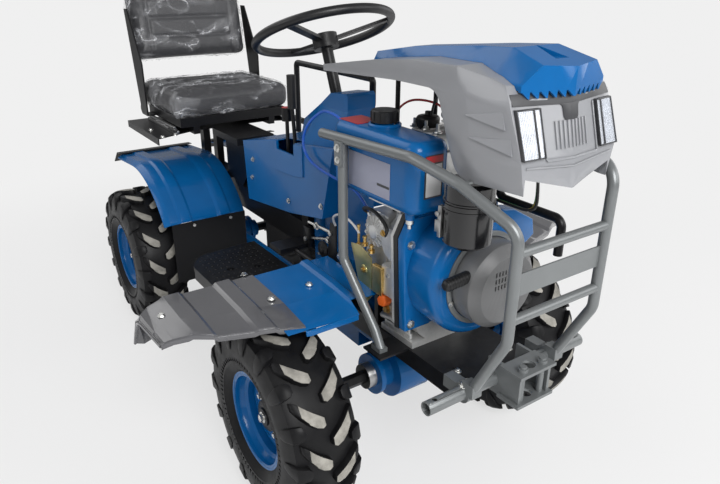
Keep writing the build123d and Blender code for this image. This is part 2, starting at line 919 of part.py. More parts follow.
def make_shroud():
    drum = rod_x(crankcase_x1, shroud_x1, crank_y, crank_z, shroud_radius)
    front = drum.faces().sort_by(Axis.X)[-1]
    drum = fillet(front.edges(), radius=shroud_edge)
    neck = block(crankcase_x1, shroud_x1 - shroud_edge, crank_y - shroud_neck_half,
                 crank_y + shroud_neck_half, crank_z, shroud_neck_top)
    base = block(crankcase_x1, crankcase_x1 + shroud_plate_depth, shroud_plate_right,
                 crank_y * 2 - shroud_plate_right, shroud_plate_low, shroud_neck_top)
    base = fillet(base.edges().filter_by(Axis.X), radius=shroud_plate_round)
    hollow = rod_x(crankcase_x1, shroud_x1 - shroud_wall, crank_y, crank_z, recoil_radius - shroud_wall)
    return drum + neck + base - hollow


def make_recoil():
    front = shroud_x1
    body = Pos(front, crank_y, crank_z) * Rot(0, 90, 0) * extrude(Circle(recoil_radius), amount=recoil_x1 - front)
    edge = body.faces().sort_by(Axis.X)[-1].edges()
    body = chamfer(edge, length=recoil_radius - recoil_front_radius)
    cuts = []
    for row in range(recoil_slot_rows):
        low = crank_z + recoil_slot_height / 2 + row * recoil_slot_row_pitch
        for index in range(recoil_slot_count):
            middle = crank_y + (index - (recoil_slot_count - 1) / 2) * recoil_slot_pitch
            cuts.append(block(recoil_x1 - recoil_slot_depth, recoil_x1 + cut_over,
                              middle - recoil_slot_width / 2, middle + recoil_slot_width / 2,
                              low, low + recoil_slot_height))
    body = body.cut(*cuts)
    grip = rod_y(recoil_x1 - recoil_radius / 2, crank_y + recoil_radius - handle_radius,
                 crank_y + recoil_radius + handle_length, crank_z + recoil_front_radius / 2, handle_radius)
    return body + grip


def make_tank():
    tank = block(tank_x0, tank_x1, tank_right, tank_left, tank_z0, tank_z1)
    upright = tank.edges().filter_by(Axis.Z)
    tank = fillet(upright, radius=tank_round)
    rims = tank.edges().filter_by(lambda e: abs(e.center().Z - tank_z1) < sheet or
                                  abs(e.center().Z - tank_z0) < sheet)
    tank = fillet(rims, radius=tank_round * 2 / 3)
    neck = rod_z(tank_cap_x, tank_cap_y, tank_z1 - tank_neck_height, tank_z1 + tank_neck_height,
                 tank_neck_radius)
    return tank + neck


def make_tank_cap():
    low = tank_z1 + tank_neck_height
    cap = rod_z(tank_cap_x, tank_cap_y, low, low + tank_cap_height, tank_cap_radius)
    cap = chamfer(cap.faces().sort_by(Axis.Z)[-1].edges(), length=cap_rib_depth)
    ribs = []
    for index in range(cap_rib_count):
        rib = Pos(tank_cap_radius, 0, tank_cap_height / 2) * Box(cap_rib_depth * 2, cap_rib_depth * 2,
                                                                  tank_cap_height - cap_rib_depth * 3)
        ribs.append(Pos(tank_cap_x, tank_cap_y, low) * Rot(0, 0, index * 360 / cap_rib_count) * rib)
    return cap.fuse(*ribs)


def make_cleaner():
    can = rod_z(cleaner_x, cleaner_y, cleaner_z0, cleaner_z1, cleaner_radius)
    ends = can.edges().filter_by(GeomType.CIRCLE)
    can = chamfer(ends, length=cleaner_edge)
    can += rod_z(cleaner_x, cleaner_y, cleaner_rim_z, cleaner_rim_z + cleaner_rim_height,
                 cleaner_radius + cleaner_rim_over)
    pipe = tube([(cleaner_x, cleaner_y + cleaner_radius / 2, cleaner_pipe_z),
                 (cleaner_x, cleaner_pipe_y, cleaner_pipe_z),
                 (head_x1, cleaner_pipe_y, cleaner_pipe_z)], cleaner_pipe_radius, cleaner_pipe_radius * 1.5)
    return can + pipe


def make_muffler():
    can = rod_x(muffler_x0, muffler_x1, muffler_y, muffler_z, muffler_radius)
    ends = can.edges().filter_by(GeomType.CIRCLE)
    can = chamfer(ends, length=tail_radius)
    port = rod_y((head_x0 + head_x1) / 2, head_left, muffler_y, muffler_z, tail_radius * 2)
    tail = tube([(muffler_x1 - muffler_radius, muffler_y, muffler_z),
                 (muffler_x1 - muffler_radius, muffler_y, tail_z),
                 (tail_x1, muffler_y, tail_z),
                 (tail_x1, muffler_y, tail_z - tail_length)], tail_radius, tail_radius * 2)
    return can + port + tail


def make_gear_case():
    body = block(gear_x0, gear_x1, -gear_half, gear_half, gear_z0, gear_z1)
    body += block(gear_x0, gear_x1, -gear_upper_half, gear_upper_half, gear_mid_z, gear_z1)
    body += block(gear_x1, crankcase_x0, -engine_link_half, engine_link_half, engine_link_z0, gear_z1)
    body += rod_x(gear_x1, front_axle_x - case_neck_half_x - case_nose_length, 0, shaft_line_z,
                  rear_shaft_radius)
    housing = rod_z(pivot_x, 0, pivot_z0, pivot_z1, pivot_radius)
    housing += block(pivot_x, gear_x0, -pivot_arm_half, pivot_arm_half, pivot_z0, gear_z1)
    housing += block(pivot_x + pivot_radius / 2, gear_x0, -pivot_arm_half, pivot_arm_half, gear_z1, pivot_z1)
    housing -= rod_z(pivot_x, 0, pivot_z0 - cut_over, pivot_z1 + cut_over, pivot_pin_radius + pivot_clearance)
    boot = Pos(pivot_x, 0, shaft_line_z) * Sphere(boot_radius)
    boot_link = rod_x(pivot_x, gear_x0, 0, shaft_line_z, rear_shaft_radius)
    return body + housing + boot + boot_link


def cover_outline(inset):
    return [
        (cover_rear_x + inset, cover_rear_top_z - inset), (cover_low_rear_x + inset, cover_low_rear_z - inset),
        (cover_low_mid_x, cover_low_mid_z - inset), (cover_low_front_x - inset, cover_low_front_z - inset),
        (cover_front_x - inset, cover_front_z - inset), (cover_ridge_x, cover_ridge_z - inset),
        (cover_bend_x, cover_bend_z - inset),
    ]


def cover_height(x):
    # Height of the gear cover's top at a place along it.
    line = [(cover_rear_x, cover_rear_top_z), (cover_bend_x, cover_bend_z), (cover_ridge_x, cover_ridge_z),
            (cover_front_x, cover_front_z)]
    for (x0, z0), (x1, z1) in zip(line, line[1:]):
        if x0 <= x <= x1:
            return z0 + (z1 - z0) * (x - x0) / (x1 - x0)
    return cover_front_z


def console_outline():
    return [
        (dash_rear_x, cover_bend_z), (dash_tail_x, dash_tail_z), (dash_step_x, dash_step_z),
        (dash_shoulder_x, dash_shoulder_z), (dash_x1 - dash_edge, dash_top_z), (dash_x1, dash_top_z - dash_edge),
        (dash_x1, cover_bend_z),
    ]


def make_cover():
    outer = side_sheet(cover_outline(0), -cover_half, cover_half)
    inner = side_sheet(cover_outline(sheet), -cover_half + sheet, cover_half - sheet)
    panel = side_sheet([
        (cover_bend_x, cover_bend_z - sheet), (cover_ridge_x, cover_ridge_z - sheet),
        (cover_ridge_x, cover_ridge_z - panel_height), (slot_x1, cover_ridge_z - panel_height - panel_nose),
        (cover_bend_x, cover_bend_z - panel_height),
    ], -cover_half - panel_depth, -cover_half)
    column = block(dash_x0, dash_x1, -dash_half, dash_half, gear_z1, dash_top_z)
    slot = block(slot_x0, slot_x1, slot_y0, slot_y1, cover_bend_z - slot_drop, cover_ridge_z + cut_over)
    slot += block(slot_x0, slot_x1, slot_y0 - cover_half, slot_y0, cover_bend_z - slot_drop,
                  cover_ridge_z + cut_over)
    return outer + panel - inner - column - slot


def make_dash():
    console = side_sheet(console_outline(), -dash_half, dash_half)
    skirt = loft([
        plan_face(skirt_x0, skirt_x1, skirt_half, cover_bend_z),
        plan_face(dash_step_x, dash_x1, skirt_top_half, skirt_top_z),
    ], ruled=True)
    above = console + skirt
    above -= Pos(0, 0, running_gap) * side_sheet(cover_outline(0), -cover_half, cover_half)
    column = block(dash_x0 + running_gap, dash_x1 - running_gap, -dash_half + running_gap,
                   dash_half - running_gap, gear_z1, cover_front_z)
    hole_top = -steer_dish - steer_hub_height / 2
    reach = column_sunk + column_gap
    hole = steer_place() * Pos(0, 0, hole_top - reach / 2) * Cylinder(column_radius + column_gap, reach)
    return above + column - hole


def plan_face(x0, x1, half, z):
    # A flat rectangle at one height.
    return make_face(Polyline((x0, -half, z), (x1, -half, z), (x1, half, z), (x0, half, z), close=True))


def steer_place():
    # The steering axis: its own Z runs up the column, with zero at the middle of the wheel's rim.
    return Pos(steer_x, 0, steer_z) * Rot(0, -steer_lean, 0)


def make_column():
    top = -steer_dish - steer_hub_height / 2 - column_gap
    length = column_sunk - column_gap
    return steer_place() * Pos(0, 0, top - length / 2) * Cylinder(column_radius, length)


def make_steering_wheel():
    rim = Torus(steer_radius - steer_tube, steer_tube)
    hub_z = -steer_dish
    hub = Pos(0, 0, hub_z) * Cylinder(steer_hub_radius, steer_hub_height)
    wheel = rim + hub
    reach = steer_radius - steer_tube
    rise = math.degrees(math.atan2(steer_dish, reach))
    length = math.hypot(steer_dish, reach)
    for turn in range(spoke_count):
        spoke = Pos(length / 2, 0, 0) * Box(length, spoke_width, spoke_thickness)
        wheel += Pos(0, 0, hub_z) * Rot(0, 0, turn * 360 / spoke_count + 180) * Rot(0, -rise, 0) * spoke
    return steer_place() * wheel


def make_levers():
    long_lever = tube([(long_lever_x, lever_y, lever_base_z), (long_lever_top_x, lever_y, long_lever_top_z)],
                      lever_radius, 0)
    long_grip = rod_z(long_lever_top_x, lever_y, long_lever_top_z - lever_radius,
                      long_lever_top_z + grip_length, grip_radius)
    short_lever = rod_z(short_lever_x, lever_y, lever_base_z, short_lever_top_z, lever_radius)
    short_grip = rod_z(short_lever_x, lever_y, short_lever_top_z, short_lever_top_z + short_grip_length,
                       short_grip_radius)
    base = block(slot_x0 - sheet, slot_x1 + sheet, -cover_half + sheet, slot_y1 + sheet,
                 lever_base_z, lever_base_z + sheet)
    return long_lever + long_grip + short_lever + short_grip + base


def make_pedals():
    pedals = None
    for side in both_sides:
        arm = tube([(pedal_arm_x, side * gear_upper_half, pedal_z),
                    (pedal_arm_x, side * pedal_y, pedal_z),
                    (pedal_pad_x, side * pedal_y, pedal_z)], pedal_arm_radius, pedal_arm_radius * 2)
        pad = block(pedal_pad_x - pedal_half_x, pedal_pad_x + pedal_half_x, side * (pedal_y - pedal_half_y),
                    side * (pedal_y + pedal_half_y), pedal_z, pedal_z + pedal_arm_radius + pedal_thickness)
        pedal = arm + pad
        pedals = pedal if pedals is None else pedals + pedal
    return pedals


def make_grab_rail():
    root_low_z = grab_root_z - grab_radius
    share = (skirt_top_z - root_low_z) / (skirt_top_z - cover_bend_z)
    root_y = skirt_top_half + (skirt_half - skirt_top_half) * share + running_gap
    foot_z = cover_height(grab_rear_x + grab_radius) + running_gap
    rail = tube([(grab_front_x, root_y, grab_root_z),
                 (grab_front_x, grab_y, grab_root_z),
                 (grab_front_x, grab_y, grab_z),
                 (grab_rear_x, grab_y, grab_z),
                 (grab_rear_x, grab_y, foot_z)], grab_radius, grab_radius * 1.2)
    return rail


def hood_levels():
    # Columns: height, side edge in X and half width, front corner in X and half width, nose in X.
    return [
        (hood_low_z, hood_low_side_x, hood_low_half, hood_low_corner_x, hood_low_corner_half, hood_low_nose_x),
        (hood_wing_z, hood_wing_side_x, hood_wing_half, hood_wing_corner_x, hood_wing_corner_half,
         hood_wing_nose_x),
        (hood_brow_z, hood_brow_side_x, hood_brow_half, hood_brow_corner_x, hood_brow_corner_half,
         hood_brow_nose_x),
        (hood_roof_z, hood_roof_side_x, hood_roof_half, hood_roof_corner_x, hood_roof_corner_half,
         hood_roof_nose_x),
    ]


def hood_plan(level, z, inset):
    side_x, side_half, corner_x, corner_half, nose_x = level[1:]
    rear_x = hood_rear_x - cut_over
    points = [
        (rear_x, hood_rear_half - inset), (side_x, side_half - inset), (corner_x - inset, corner_half - inset),
        (nose_x - inset, 0), (corner_x - inset, -corner_half + inset), (side_x, -side_half + inset),
        (rear_x, -hood_rear_half + inset),
    ]
    return make_face(Polyline(*[(x, y, z) for x, y in points], close=True))


def roof_outline(inset):
    # The roof's line in X and Z, closed far below.
    floor = hood_low_z - cut_over
    return [
        (hood_rear_x - inset, floor), (hood_rear_x - inset, roof_rear_z - inset), (roof_arm_x, roof_arm_z - inset),
        (roof_mid_x, roof_mid_z - inset), (roof_front_x, hood_roof_z - inset), (roof_fall_x, roof_fall_z - inset),
        (hood_low_nose_x + cut_over, roof_nose_z - inset), (hood_low_nose_x + cut_over, floor),
    ]


def hood_mass(inset):
    # The closed form of the hood, moved inwards by the inset.
    levels = hood_levels()
    sections = [hood_plan(levels[0], hood_low_z - cut_over, inset)]
    sections += [hood_plan(level, level[0], inset) for level in levels]
    plan = loft(sections, ruled=True)
    return plan & side_sheet(roof_outline(inset), -hood_brow_half - cut_over, hood_brow_half + cut_over)


def hood_front(y, z):
    # X of the front face at a place between the wing and brow heights.
    wing, brow = hood_levels()[1:3]
    share = (z - wing[0]) / (brow[0] - wing[0])
    half = wing[4] + (brow[4] - wing[4]) * share
    corner = wing[3] + (brow[3] - wing[3]) * share
    nose = wing[5] + (brow[5] - wing[5]) * share
    return nose + (corner - nose) * abs(y) / half


def front_slab(y0, y1, z0, z1, back, front):
    # A slab on the leaning front face, between two offsets from it.
    sections = []
    for z in (z0, z1):
        first, last = hood_front(y0, z), hood_front(y1, z)
        sections.append(make_face(Polyline((first + back, y0, z), (last + back, y1, z), (last + front, y1, z),
                                           (first + front, y0, z), close=True)))
    return loft(sections, ruled=True)


def make_hood_shell():
    shell = hood_mass(0) - hood_mass(hood_wall)
    arch = FilletPolyline(
        (hood_rear_x - cut_over, 0, arch_rear_z), (arch_mid_x, 0, arch_top_z), (arch_corner_x, 0, arch_top_z),
        (arch_foot_x, 0, arch_foot_z), (hood_low_nose_x + cut_over, 0, hood_low_z),
        radius=[arch_mid_x, arch_corner_radius, arch_foot_radius])
    floor = hood_low_z - cut_over * 2
    closing = Polyline(arch @ 1, (hood_low_nose_x + cut_over, 0, floor), (hood_rear_x - cut_over, 0, floor),
                       arch @ 0)
    reach = hood_brow_half + cut_over
    below = Pos(0, -reach, 0) * extrude(make_face([arch, closing]), amount=reach * 2, dir=(0, 1, 0))
    shell -= below
    notch = cross_sheet([
        (-panel_cut_half, panel_low_z), (0, hood_low_z), (panel_cut_half, panel_low_z),
        (panel_cut_half, floor), (-panel_cut_half, floor),
    ], hood_wing_side_x + cut_over, hood_low_nose_x + cut_over)
    shell -= notch
    ribs = []
    for index in range(rib_count):
        middle = (index - (rib_count - 1) / 2) * rib_pitch
        low = middle - rib_width / 2
        if low < 0 < low + rib_width:
            half = rib_width / 2
            ribs.append(front_slab(-half, 0, rib_z0, rib_z1, -hood_wall / 2, rib_depth))
            ribs.append(front_slab(0, half, rib_z0, rib_z1, -hood_wall / 2, rib_depth))
        else:
            ribs.append(front_slab(low, low + rib_width, rib_z0, rib_z1, -hood_wall / 2, rib_depth))
    return shell.fuse(*ribs)


def top_section(x, half, top_z, inset):
    flat = half * top_flat_share
    low = brow_z - cut_over
    points = [
        (x, half - inset, low), (x, half - inset, hood_line(x)), (x, flat - inset / 2, top_z - inset),
        (x, -flat + inset / 2, top_z - inset), (x, -half + inset, hood_line(x)), (x, -half + inset, low),
    ]
    return make_face(Polyline(*points, close=True))


def hood_line(x):
    # Height of the grey roof at a place along it.
    line = [(hood_rear_x, roof_rear_z), (roof_arm_x, roof_arm_z), (roof_mid_x, roof_mid_z),
            (roof_front_x, hood_roof_z), (roof_fall_x, roof_fall_z), (hood_low_nose_x + cut_over, roof_nose_z)]
    for (x0, z0), (x1, z1) in zip(line, line[1:]):
        if x <= x1:
            return z0 + (z1 - z0) * (x - x0) / (x1 - x0)
    return roof_nose_z


def top_mass(inset):
    # Columns: x, half width at the roof, height of the crest.
    sections = [
        (top_rear_x, top_rear_half, top_rear_z),
        (top_arm_x, top_arm_half, top_arm_z),
        (top_mid_x, top_mid_half, top_mid_z),
        (top_crest_x, top_crest_half, top_crest_z),
        (top_nose_x + cut_over, top_corner_half + cut_over, top_nose_z),
    ]
    ridge = loft([top_section(x, half, top_z, inset) for x, half, top_z in sections], ruled=True)
    plan = plan_sheet([
        (top_rear_x - cut_over, top_corner_half), (top_corner_x - inset, top_corner_half - inset),
        (top_nose_x - inset, 0), (top_corner_x - inset, -top_corner_half + inset),
        (top_rear_x - cut_over, -top_corner_half),
    ], brow_z - cut_over, top_crest_z + cut_over)
    floor = top_crest_z - notch_depth - inset
    notch = plan_sheet([(notch_x - inset, 0), (top_nose_x + cut_over, notch_half + inset),
                        (top_nose_x + cut_over, -notch_half - inset)], floor, top_crest_z + cut_over)
    return (ridge & plan) - notch


def make_hood_top():
    shell = top_mass(0) - top_mass(hood_wall)
    roof = [(x, z + running_gap) for x, z in roof_outline(0)]
    reach = top_corner_half + cut_over
    shell -= side_sheet(roof, -reach, reach)
    teeth = []
    run = top_corner_half / tooth_count
    step = (top_nose_x - top_corner_x) / tooth_count
    for side in both_sides:
        for index in range(tooth_count):
            near, far = index * run, (index + 1) * run
            near_x = top_nose_x - index * step
            far_x = near_x - step
            low = make_face(Polyline((near_x, side * near, brow_z - tooth_height),
                                     (near_x - tooth_thickness, side * near, brow_z - tooth_height),
                                     (near_x - tooth_thickness, side * (near + sheet), brow_z - tooth_height),
                                     (near_x, side * (near + sheet), brow_z - tooth_height), close=True))
            high = make_face(Polyline((near_x, side * near, brow_z), (near_x - tooth_thickness, side * near, brow_z),
                                      (far_x - tooth_thickness, side * far, brow_z), (far_x, side * far, brow_z),
                                      close=True))
            teeth.append(loft([low, high], ruled=True))
    ledge = plan_sheet([
        (top_corner_x, top_corner_half), (top_nose_x, 0), (top_corner_x, -top_corner_half),
        (top_corner_x - tooth_thickness, -top_corner_half), (top_nose_x - tooth_thickness, 0),
        (top_corner_x - tooth_thickness, top_corner_half),
    ], brow_z - sheet, brow_z + brow_wall)
    skirt = top_mass(0) - top_mass(brow_wall)
    skirt &= block(roof_fall_x, top_nose_x + cut_over, -reach, reach, brow_z, roof_fall_z + cut_over)
    skirt -= hood_mass(-running_gap)
    whole = (shell + (skirt + ledge)).fuse(*teeth) - hood_mass(-running_gap)
    return whole.solids().sort_by(SortBy.VOLUME)[-1]


def make_lamps():
    lamp = front_slab(lamp_y0, lamp_y1, lamp_z0, lamp_z1, running_gap, running_gap + lamp_thickness)
    return both(lamp)


def make_footplates():
    outline = FilletPolyline((step_x1, step_y0), (step_x1, step_y1), (step_x0 + cut_over, step_y1),
                             (step_x0, step_y0), radius=[step_skirt, step_corner])
    edge = Line(outline @ 1, outline @ 0)
    top = Pos(0, 0, step_z0) * extrude(make_face([outline, edge]), amount=step_z1 - step_z0, dir=(0, 0, 1))
    plate = top + block(step_x0 + step_corner, step_x1 - step_corner / 2, step_y1 - step_skirt, step_y1,
                        step_skirt_z0, step_z1)
    holes = []
    for row in range(step_hole_rows):
        for index in range(step_hole_count):
            hole_x = step_x1 - (index + 1) * step_hole_pitch - row * step_hole_pitch / 3
            hole_y = step_y0 + (row + 1) * step_hole_pitch
            holes.append(rod_z(hole_x, hole_y, step_z0 - cut_over, step_z1 + cut_over, step_hole_radius))
    return both(plate.cut(*holes))


def fender_line():
    # Upper face of the fender in X and Z, from its low rear edge to its front edge.
    return [
        (fender_low_x, fender_low_z), (fender_bend_x, fender_bend_z), (fender_crest_x, fender_top_z),
        (fender_mid_x, fender_mid_z), (fender_front_x, fender_front_z),
    ]


def fender_height(x):
    for (x0, z0), (x1, z1) in zip(fender_line(), fender_line()[1:]):
        if x0 <= x <= x1:
            return z0 + (z1 - z0) * (x - x0) / (x1 - x0)
    return fender_front_z


def offset_rows(points, distance):
    # The points moved by the distance to the lower side of their line.
    moved = []
    last = len(points) - 1
    for index, (x, z) in enumerate(points):
        x0, z0 = points[max(index - 1, 0)]
        x1, z1 = points[min(index + 1, last)]
        run = math.hypot(x1 - x0, z1 - z0)
        moved.append((x + (z1 - z0) / run * distance, z - (x1 - x0) / run * distance))
    return moved


def thicken(points, thickness):
    # The points of a bent sheet, forward along its upper face and back along its lower one.
    return points + offset_rows(points, thickness)[::-1]


def fender_rows(rise, pull):
    # Points along the upper face, with the front edge pulled back and the sheet raised or lowered.
    reach = fender_front_x - fender_crest_x
    stretch = (reach - pull) / reach
    rows = []
    for x, z in fender_line():
        if x > fender_crest_x:
            x = fender_crest_x + (x - fender_crest_x) * stretch
            z = fender_height(x)
        rows.append((x, z + rise))
    return rows


def bent_sheet(rows_at, thickness):
    # A bent sheet lofted along Y, from Y places with their points.
    sections = []
    for y, rows in rows_at:
        sections.append(make_face(Polyline(*[(x, y, z) for x, z in thicken(rows, thickness)], close=True)))
    return loft(sections, ruled=True)


def make_inner_fenders():
    slope = fender_edge_slope
    bead_end = strut_low_y + bar_radius * 3
    bead_y = bead_end - slope * 4
    pull = fender_front_x - fender_notch_x
    # Columns: Y place, rise, pull of the front edge, which leaves room for the strut.
    stations = [
        (fender_inner_y0, 0, pull), (bead_y, 0, pull), (bead_y + slope, fender_bead, pull),
        (bead_end - slope, fender_bead, pull), (bead_end, 0, 0), (fender_inner_y1, 0, slope),
    ]
    return both(bent_sheet([(y, fender_rows(rise, pull)) for y, rise, pull in stations], sheet))


def make_outer_fenders():
    lap = sheet + fender_lap_gap
    width = fender_outer_y1 - fender_lap_y
    # Columns: share of the width, rise in beads, pull of the front edge as a share of the width.
    shares = [
        (0, 0, 0.05), (0.19, 0, 0.11), (0.22, 1, 0.12), (0.34, 1, 0.15), (0.37, 0, 0.17), (0.63, 0, 0.25),
        (0.66, 1, 0.26), (0.79, 1, 0.33), (0.82, 0, 0.35), (0.92, -1, 0.42), (0.98, -4.5, 0.5), (1, -14, 0.58),
    ]
    rows_at = []
    for place, rise, pull in shares:
        rows = fender_rows(fender_bead * rise, width * pull)
        rows_at.append((fender_lap_y + width * place, offset_rows(rows, -lap)))
    cover = bent_sheet(rows_at, sheet)
    below = sheet + running_gap * 3
    tip = bent_sheet([(y, [(x, z - below) for x, z in rows[2:]]) for y, rows in rows_at[-3:]], tip_depth)
    return Compound(children=both(cover).solids() + both(tip).solids())


def guard_point(angle, radius):
    return (rear_axle_x + guard_shift_x + radius * math.cos(math.radians(angle)),
            axle_z + guard_shift_z + radius * math.sin(math.radians(angle)))


def guard_section(y, rise):
    # Section of the fender at one Y place: an arc over the tyre and a straight tail.
    start, turn = guard_start_degrees, guard_turn_degrees
    middle = (start + turn) / 2
    tail_slope = math.tan(math.radians(turn - 90))
    rows = []
    for radius in (guard_radius + rise, guard_radius + rise + sheet):
        points = [guard_point(angle, radius) for angle in (start, middle, turn)]
        tail = (guard_rear_x, points[-1][1] - tail_slope * (points[-1][0] - guard_rear_x))
        rows.append([(x, y, z) for x, z in points + [tail]])
    low, high = rows
    return make_face([
        ThreePointArc(low[0], low[1], low[2]), Line(low[2], low[3]), Line(low[3], high[3]),
        Line(high[3], high[2]), ThreePointArc(high[2], high[1], high[0]), Line(high[0], low[0]),
    ])


def make_guards():
    width = guard_y1 - guard_y0
    # Columns: share of the width, rise in beads.
    shares = [
        (0, 0), (0.17, 0), (0.2, 1), (0.32, 1), (0.35, 0), (0.66, 0), (0.69, 1), (0.8, 1), (0.83, 0),
        (0.93, 0), (1, -2),
    ]
    sections = [guard_section(guard_y0 + width * place, guard_bead * rise) for place, rise in shares]
    return both(loft(sections, ruled=True))


def make_flaps():
    edge_x, edge_z = guard_point(guard_start_degrees, guard_radius)
    flap = block(edge_x - flap_thickness, edge_x, flap_y0, flap_y1, flap_low_z, edge_z - running_gap)
    turn = guard_turn_degrees
    end_x, end_z = guard_point(turn, guard_radius)
    tail_z = end_z - math.tan(math.radians(turn - 90)) * (end_x - guard_rear_x)
    lift = guard_bead + sheet + running_gap * 2
    lap_rise = math.tan(math.radians(turn - 90)) * guard_tip_lap
    tip = side_sheet(thicken([
        (guard_rear_x - guard_tip_length, tail_z + lift - guard_tip_fall),
        (guard_rear_x, tail_z + lift), (guard_rear_x + guard_tip_lap, tail_z + lift + lap_rise),
    ], -sheet), guard_y0, guard_y1)
    return Compound(children=both(flap).solids() + both(tip).solids())


def make_beam():
    lug_low = pivot_z0 - running_gap - lug_thickness
    lug_high = pivot_z1 + running_gap
    beam = block(beam_rear_x, web_x1, -beam_half, beam_half, beam_z0, beam_z1)
    beam += block(web_x0, web_x1, -beam_half, beam_half, lug_low, lug_high + lug_thickness)
    for low in (lug_low, lug_high):
        beam += rod_z(pivot_x, 0, low, low + lug_thickness, pivot_radius)
        beam += block(web_x0, pivot_x, -beam_half, beam_half, low, low + lug_thickness)
    beam += rod_z(pivot_x, 0, lug_low, lug_high + lug_thickness, pivot_pin_radius)
    centre_x = rear_axle_x + guard_shift_x
    inner = guard_radius - running_gap
    bar_top = axle_z + guard_shift_z + math.sqrt(inner ** 2 - (guard_bar_x1 - centre_x) ** 2)
    beam += block(guard_bar_x0, guard_bar_x1, -guard_bar_half, guard_bar_half, beam_z1 - sheet, bar_top)
    return beam


def make_rear_case():
    case = axle_case(rear_axle_x, beam_z0, 1)
    nose_end = rear_axle_x + case_neck_half_x + case_nose_length
    return case + rod_x(nose_end, rear_shaft_front, 0, shaft_line_z, rear_shaft_radius)


def make_seat_frame():
    outline = [
        (tray_x0, tray_half), (tray_x1, tray_half), (tray_bend_x, tray_bend_half), (tray_bend_x, tongue_half),
        (tongue_x, tongue_half), (tongue_x, -tongue_half), (tray_bend_x, -tongue_half),
        (tray_bend_x, -tray_bend_half), (tray_x1, -tray_half), (tray_x0, -tray_half),
    ]
    frame = plan_sheet(outline, tray_z1 - tray_wall, tray_z1)
    frame += block(tongue_x - tray_wall, tongue_x, -tongue_half, tongue_half, tray_z0, tray_z1)
    frame += block(tray_x0, tray_x0 + tray_wall, -tray_half, tray_half, tray_z0, tray_z1)
    pan = block(pan_x0, pan_x1, -pan_half, pan_half, pan_z0, pan_z1)
    pan -= block(pan_x0 + pan_wall, pan_x1 - pan_wall, -pan_half + pan_wall, pan_half - pan_wall,
                 pan_z0, pan_z1 - pan_wall)
    frame += pan
    top = tray_z1 - tray_wall
    for side in both_sides:
        frame += block(tray_x0, tray_x1, side * (tray_half - tray_wall), side * tray_half, tray_z0, tray_z1)
        frame += block(tray_bend_x, tongue_x, side * (tongue_half - tray_wall), side * tongue_half,
                       tray_z0, tray_z1)
        frame += block(pan_x0, pan_x1, side * slide_y0, side * slide_y1, top, pan_z1 - pan_wall)
        for low, high in ((post_x0, post_x1), (rear_post_x0, rear_post_x1)):
            frame += block(low, high, side * post_y0, side * post_y1, beam_z1, top)
        frame += side_sheet([
            (pedestal_x0, top), (pedestal_x1, top), (pedestal_x1, pedestal_bend_z),
            (pedestal_low_x, beam_z1), (pedestal_x0, beam_z1),
        ], side * (beam_half - tray_wall), side * beam_half)
        frame += side_sheet([
            (side_bar_low_x - side_bar_width, pan_z0), (side_bar_low_x + side_bar_width, pan_z0),
            (side_bar_low_x + side_bar_width, back_low_z),
            (back_low_x - side_bar_width, back_low_z + back_height / 2),
            (back_low_x - side_bar_width * 2, back_low_z + back_height / 2),
        ], side * side_bar_y0, side * side_bar_y1)
        frame += block(side_bar_low_x - side_bar_width, side_bar_low_x + side_bar_width, side * pan_half,
                       side * side_bar_y1, pan_z0, pan_z0 + pan_wall)
    return frame


def make_cushion():
    cushion = block(cushion_x0, cushion_x1, -cushion_half, cushion_half, pan_z1, pan_z1 + cushion_height)
    return fillet(cushion.edges(), radius=cushion_round)


def make_back():
    back = Box(back_thickness, back_half * 2, back_height)
    back = fillet(back.edges(), radius=cushion_round)
    lean = Rot(0, -back_lean, 0)
    return Pos(back_low_x, 0, back_low_z) * lean * Pos(-back_thickness / 2, 0, back_height / 2) * back


def make_rear_hitch():
    front = rear_axle_x - case_drum_radius
    bar = block(draw_x0, front, -draw_half, draw_half, draw_z0, draw_z0 + draw_thickness)
    bar -= rod_z(draw_x0 + draw_hole_inset, 0, draw_z0 - cut_over, draw_z0 + draw_thickness + cut_over,
                 draw_hole_radius)
    post = block(front - draw_thickness, front, -draw_half, draw_half, draw_z0, beam_z0)
    return bar + post


parts = {
    "chassis_frame": make_chassis(),
    "step_frames": make_step_frames(),
    "fender_bars": make_fender_bars(),
    "bumper_tube": make_bumper(),
    "bull_bar": make_bull_bar(),
    "hitch_bracket": make_hitch(),
    "front_axle_case": axle_case(front_axle_x, rail_z0, -1),
    "engine_crankcase": make_crankcase(),
    "engine_head": make_head(),
    "fan_shroud": make_shroud(),
    "recoil_starter": make_recoil(),
    "fuel_tank": make_tank(),
    "tank_cap": make_tank_cap(),
    "air_cleaner": make_cleaner(),
    "muffler": make_muffler(),
    "gear_case": make_gear_case(),
    "gear_cover": make_cover(),
    "dash_box": make_dash(),
    "steering_column": make_column(),
    "control_levers": make_levers(),
    "foot_pedals": make_pedals(),
    "grab_rail": make_grab_rail(),
    "hood_shell": make_hood_shell(),
    "hood_top": make_hood_top(),
    "headlamps": make_lamps(),
    "footplates": make_footplates(),
    "front_fenders_inner": make_inner_fenders(),
    "front_fenders_outer": make_outer_fenders(),
    "steering_wheel": make_steering_wheel(),
    "rear_beam": make_beam(),
    "rear_axle_case": make_rear_case(),
    "rear_fenders": make_guards(),
    "mud_flaps": make_flaps(),
    "seat_frame": make_seat_frame(),
    "seat_cushion": make_cushion(),
    "seat_back": make_back(),
    "rear_hitch": make_rear_hitch(),
}

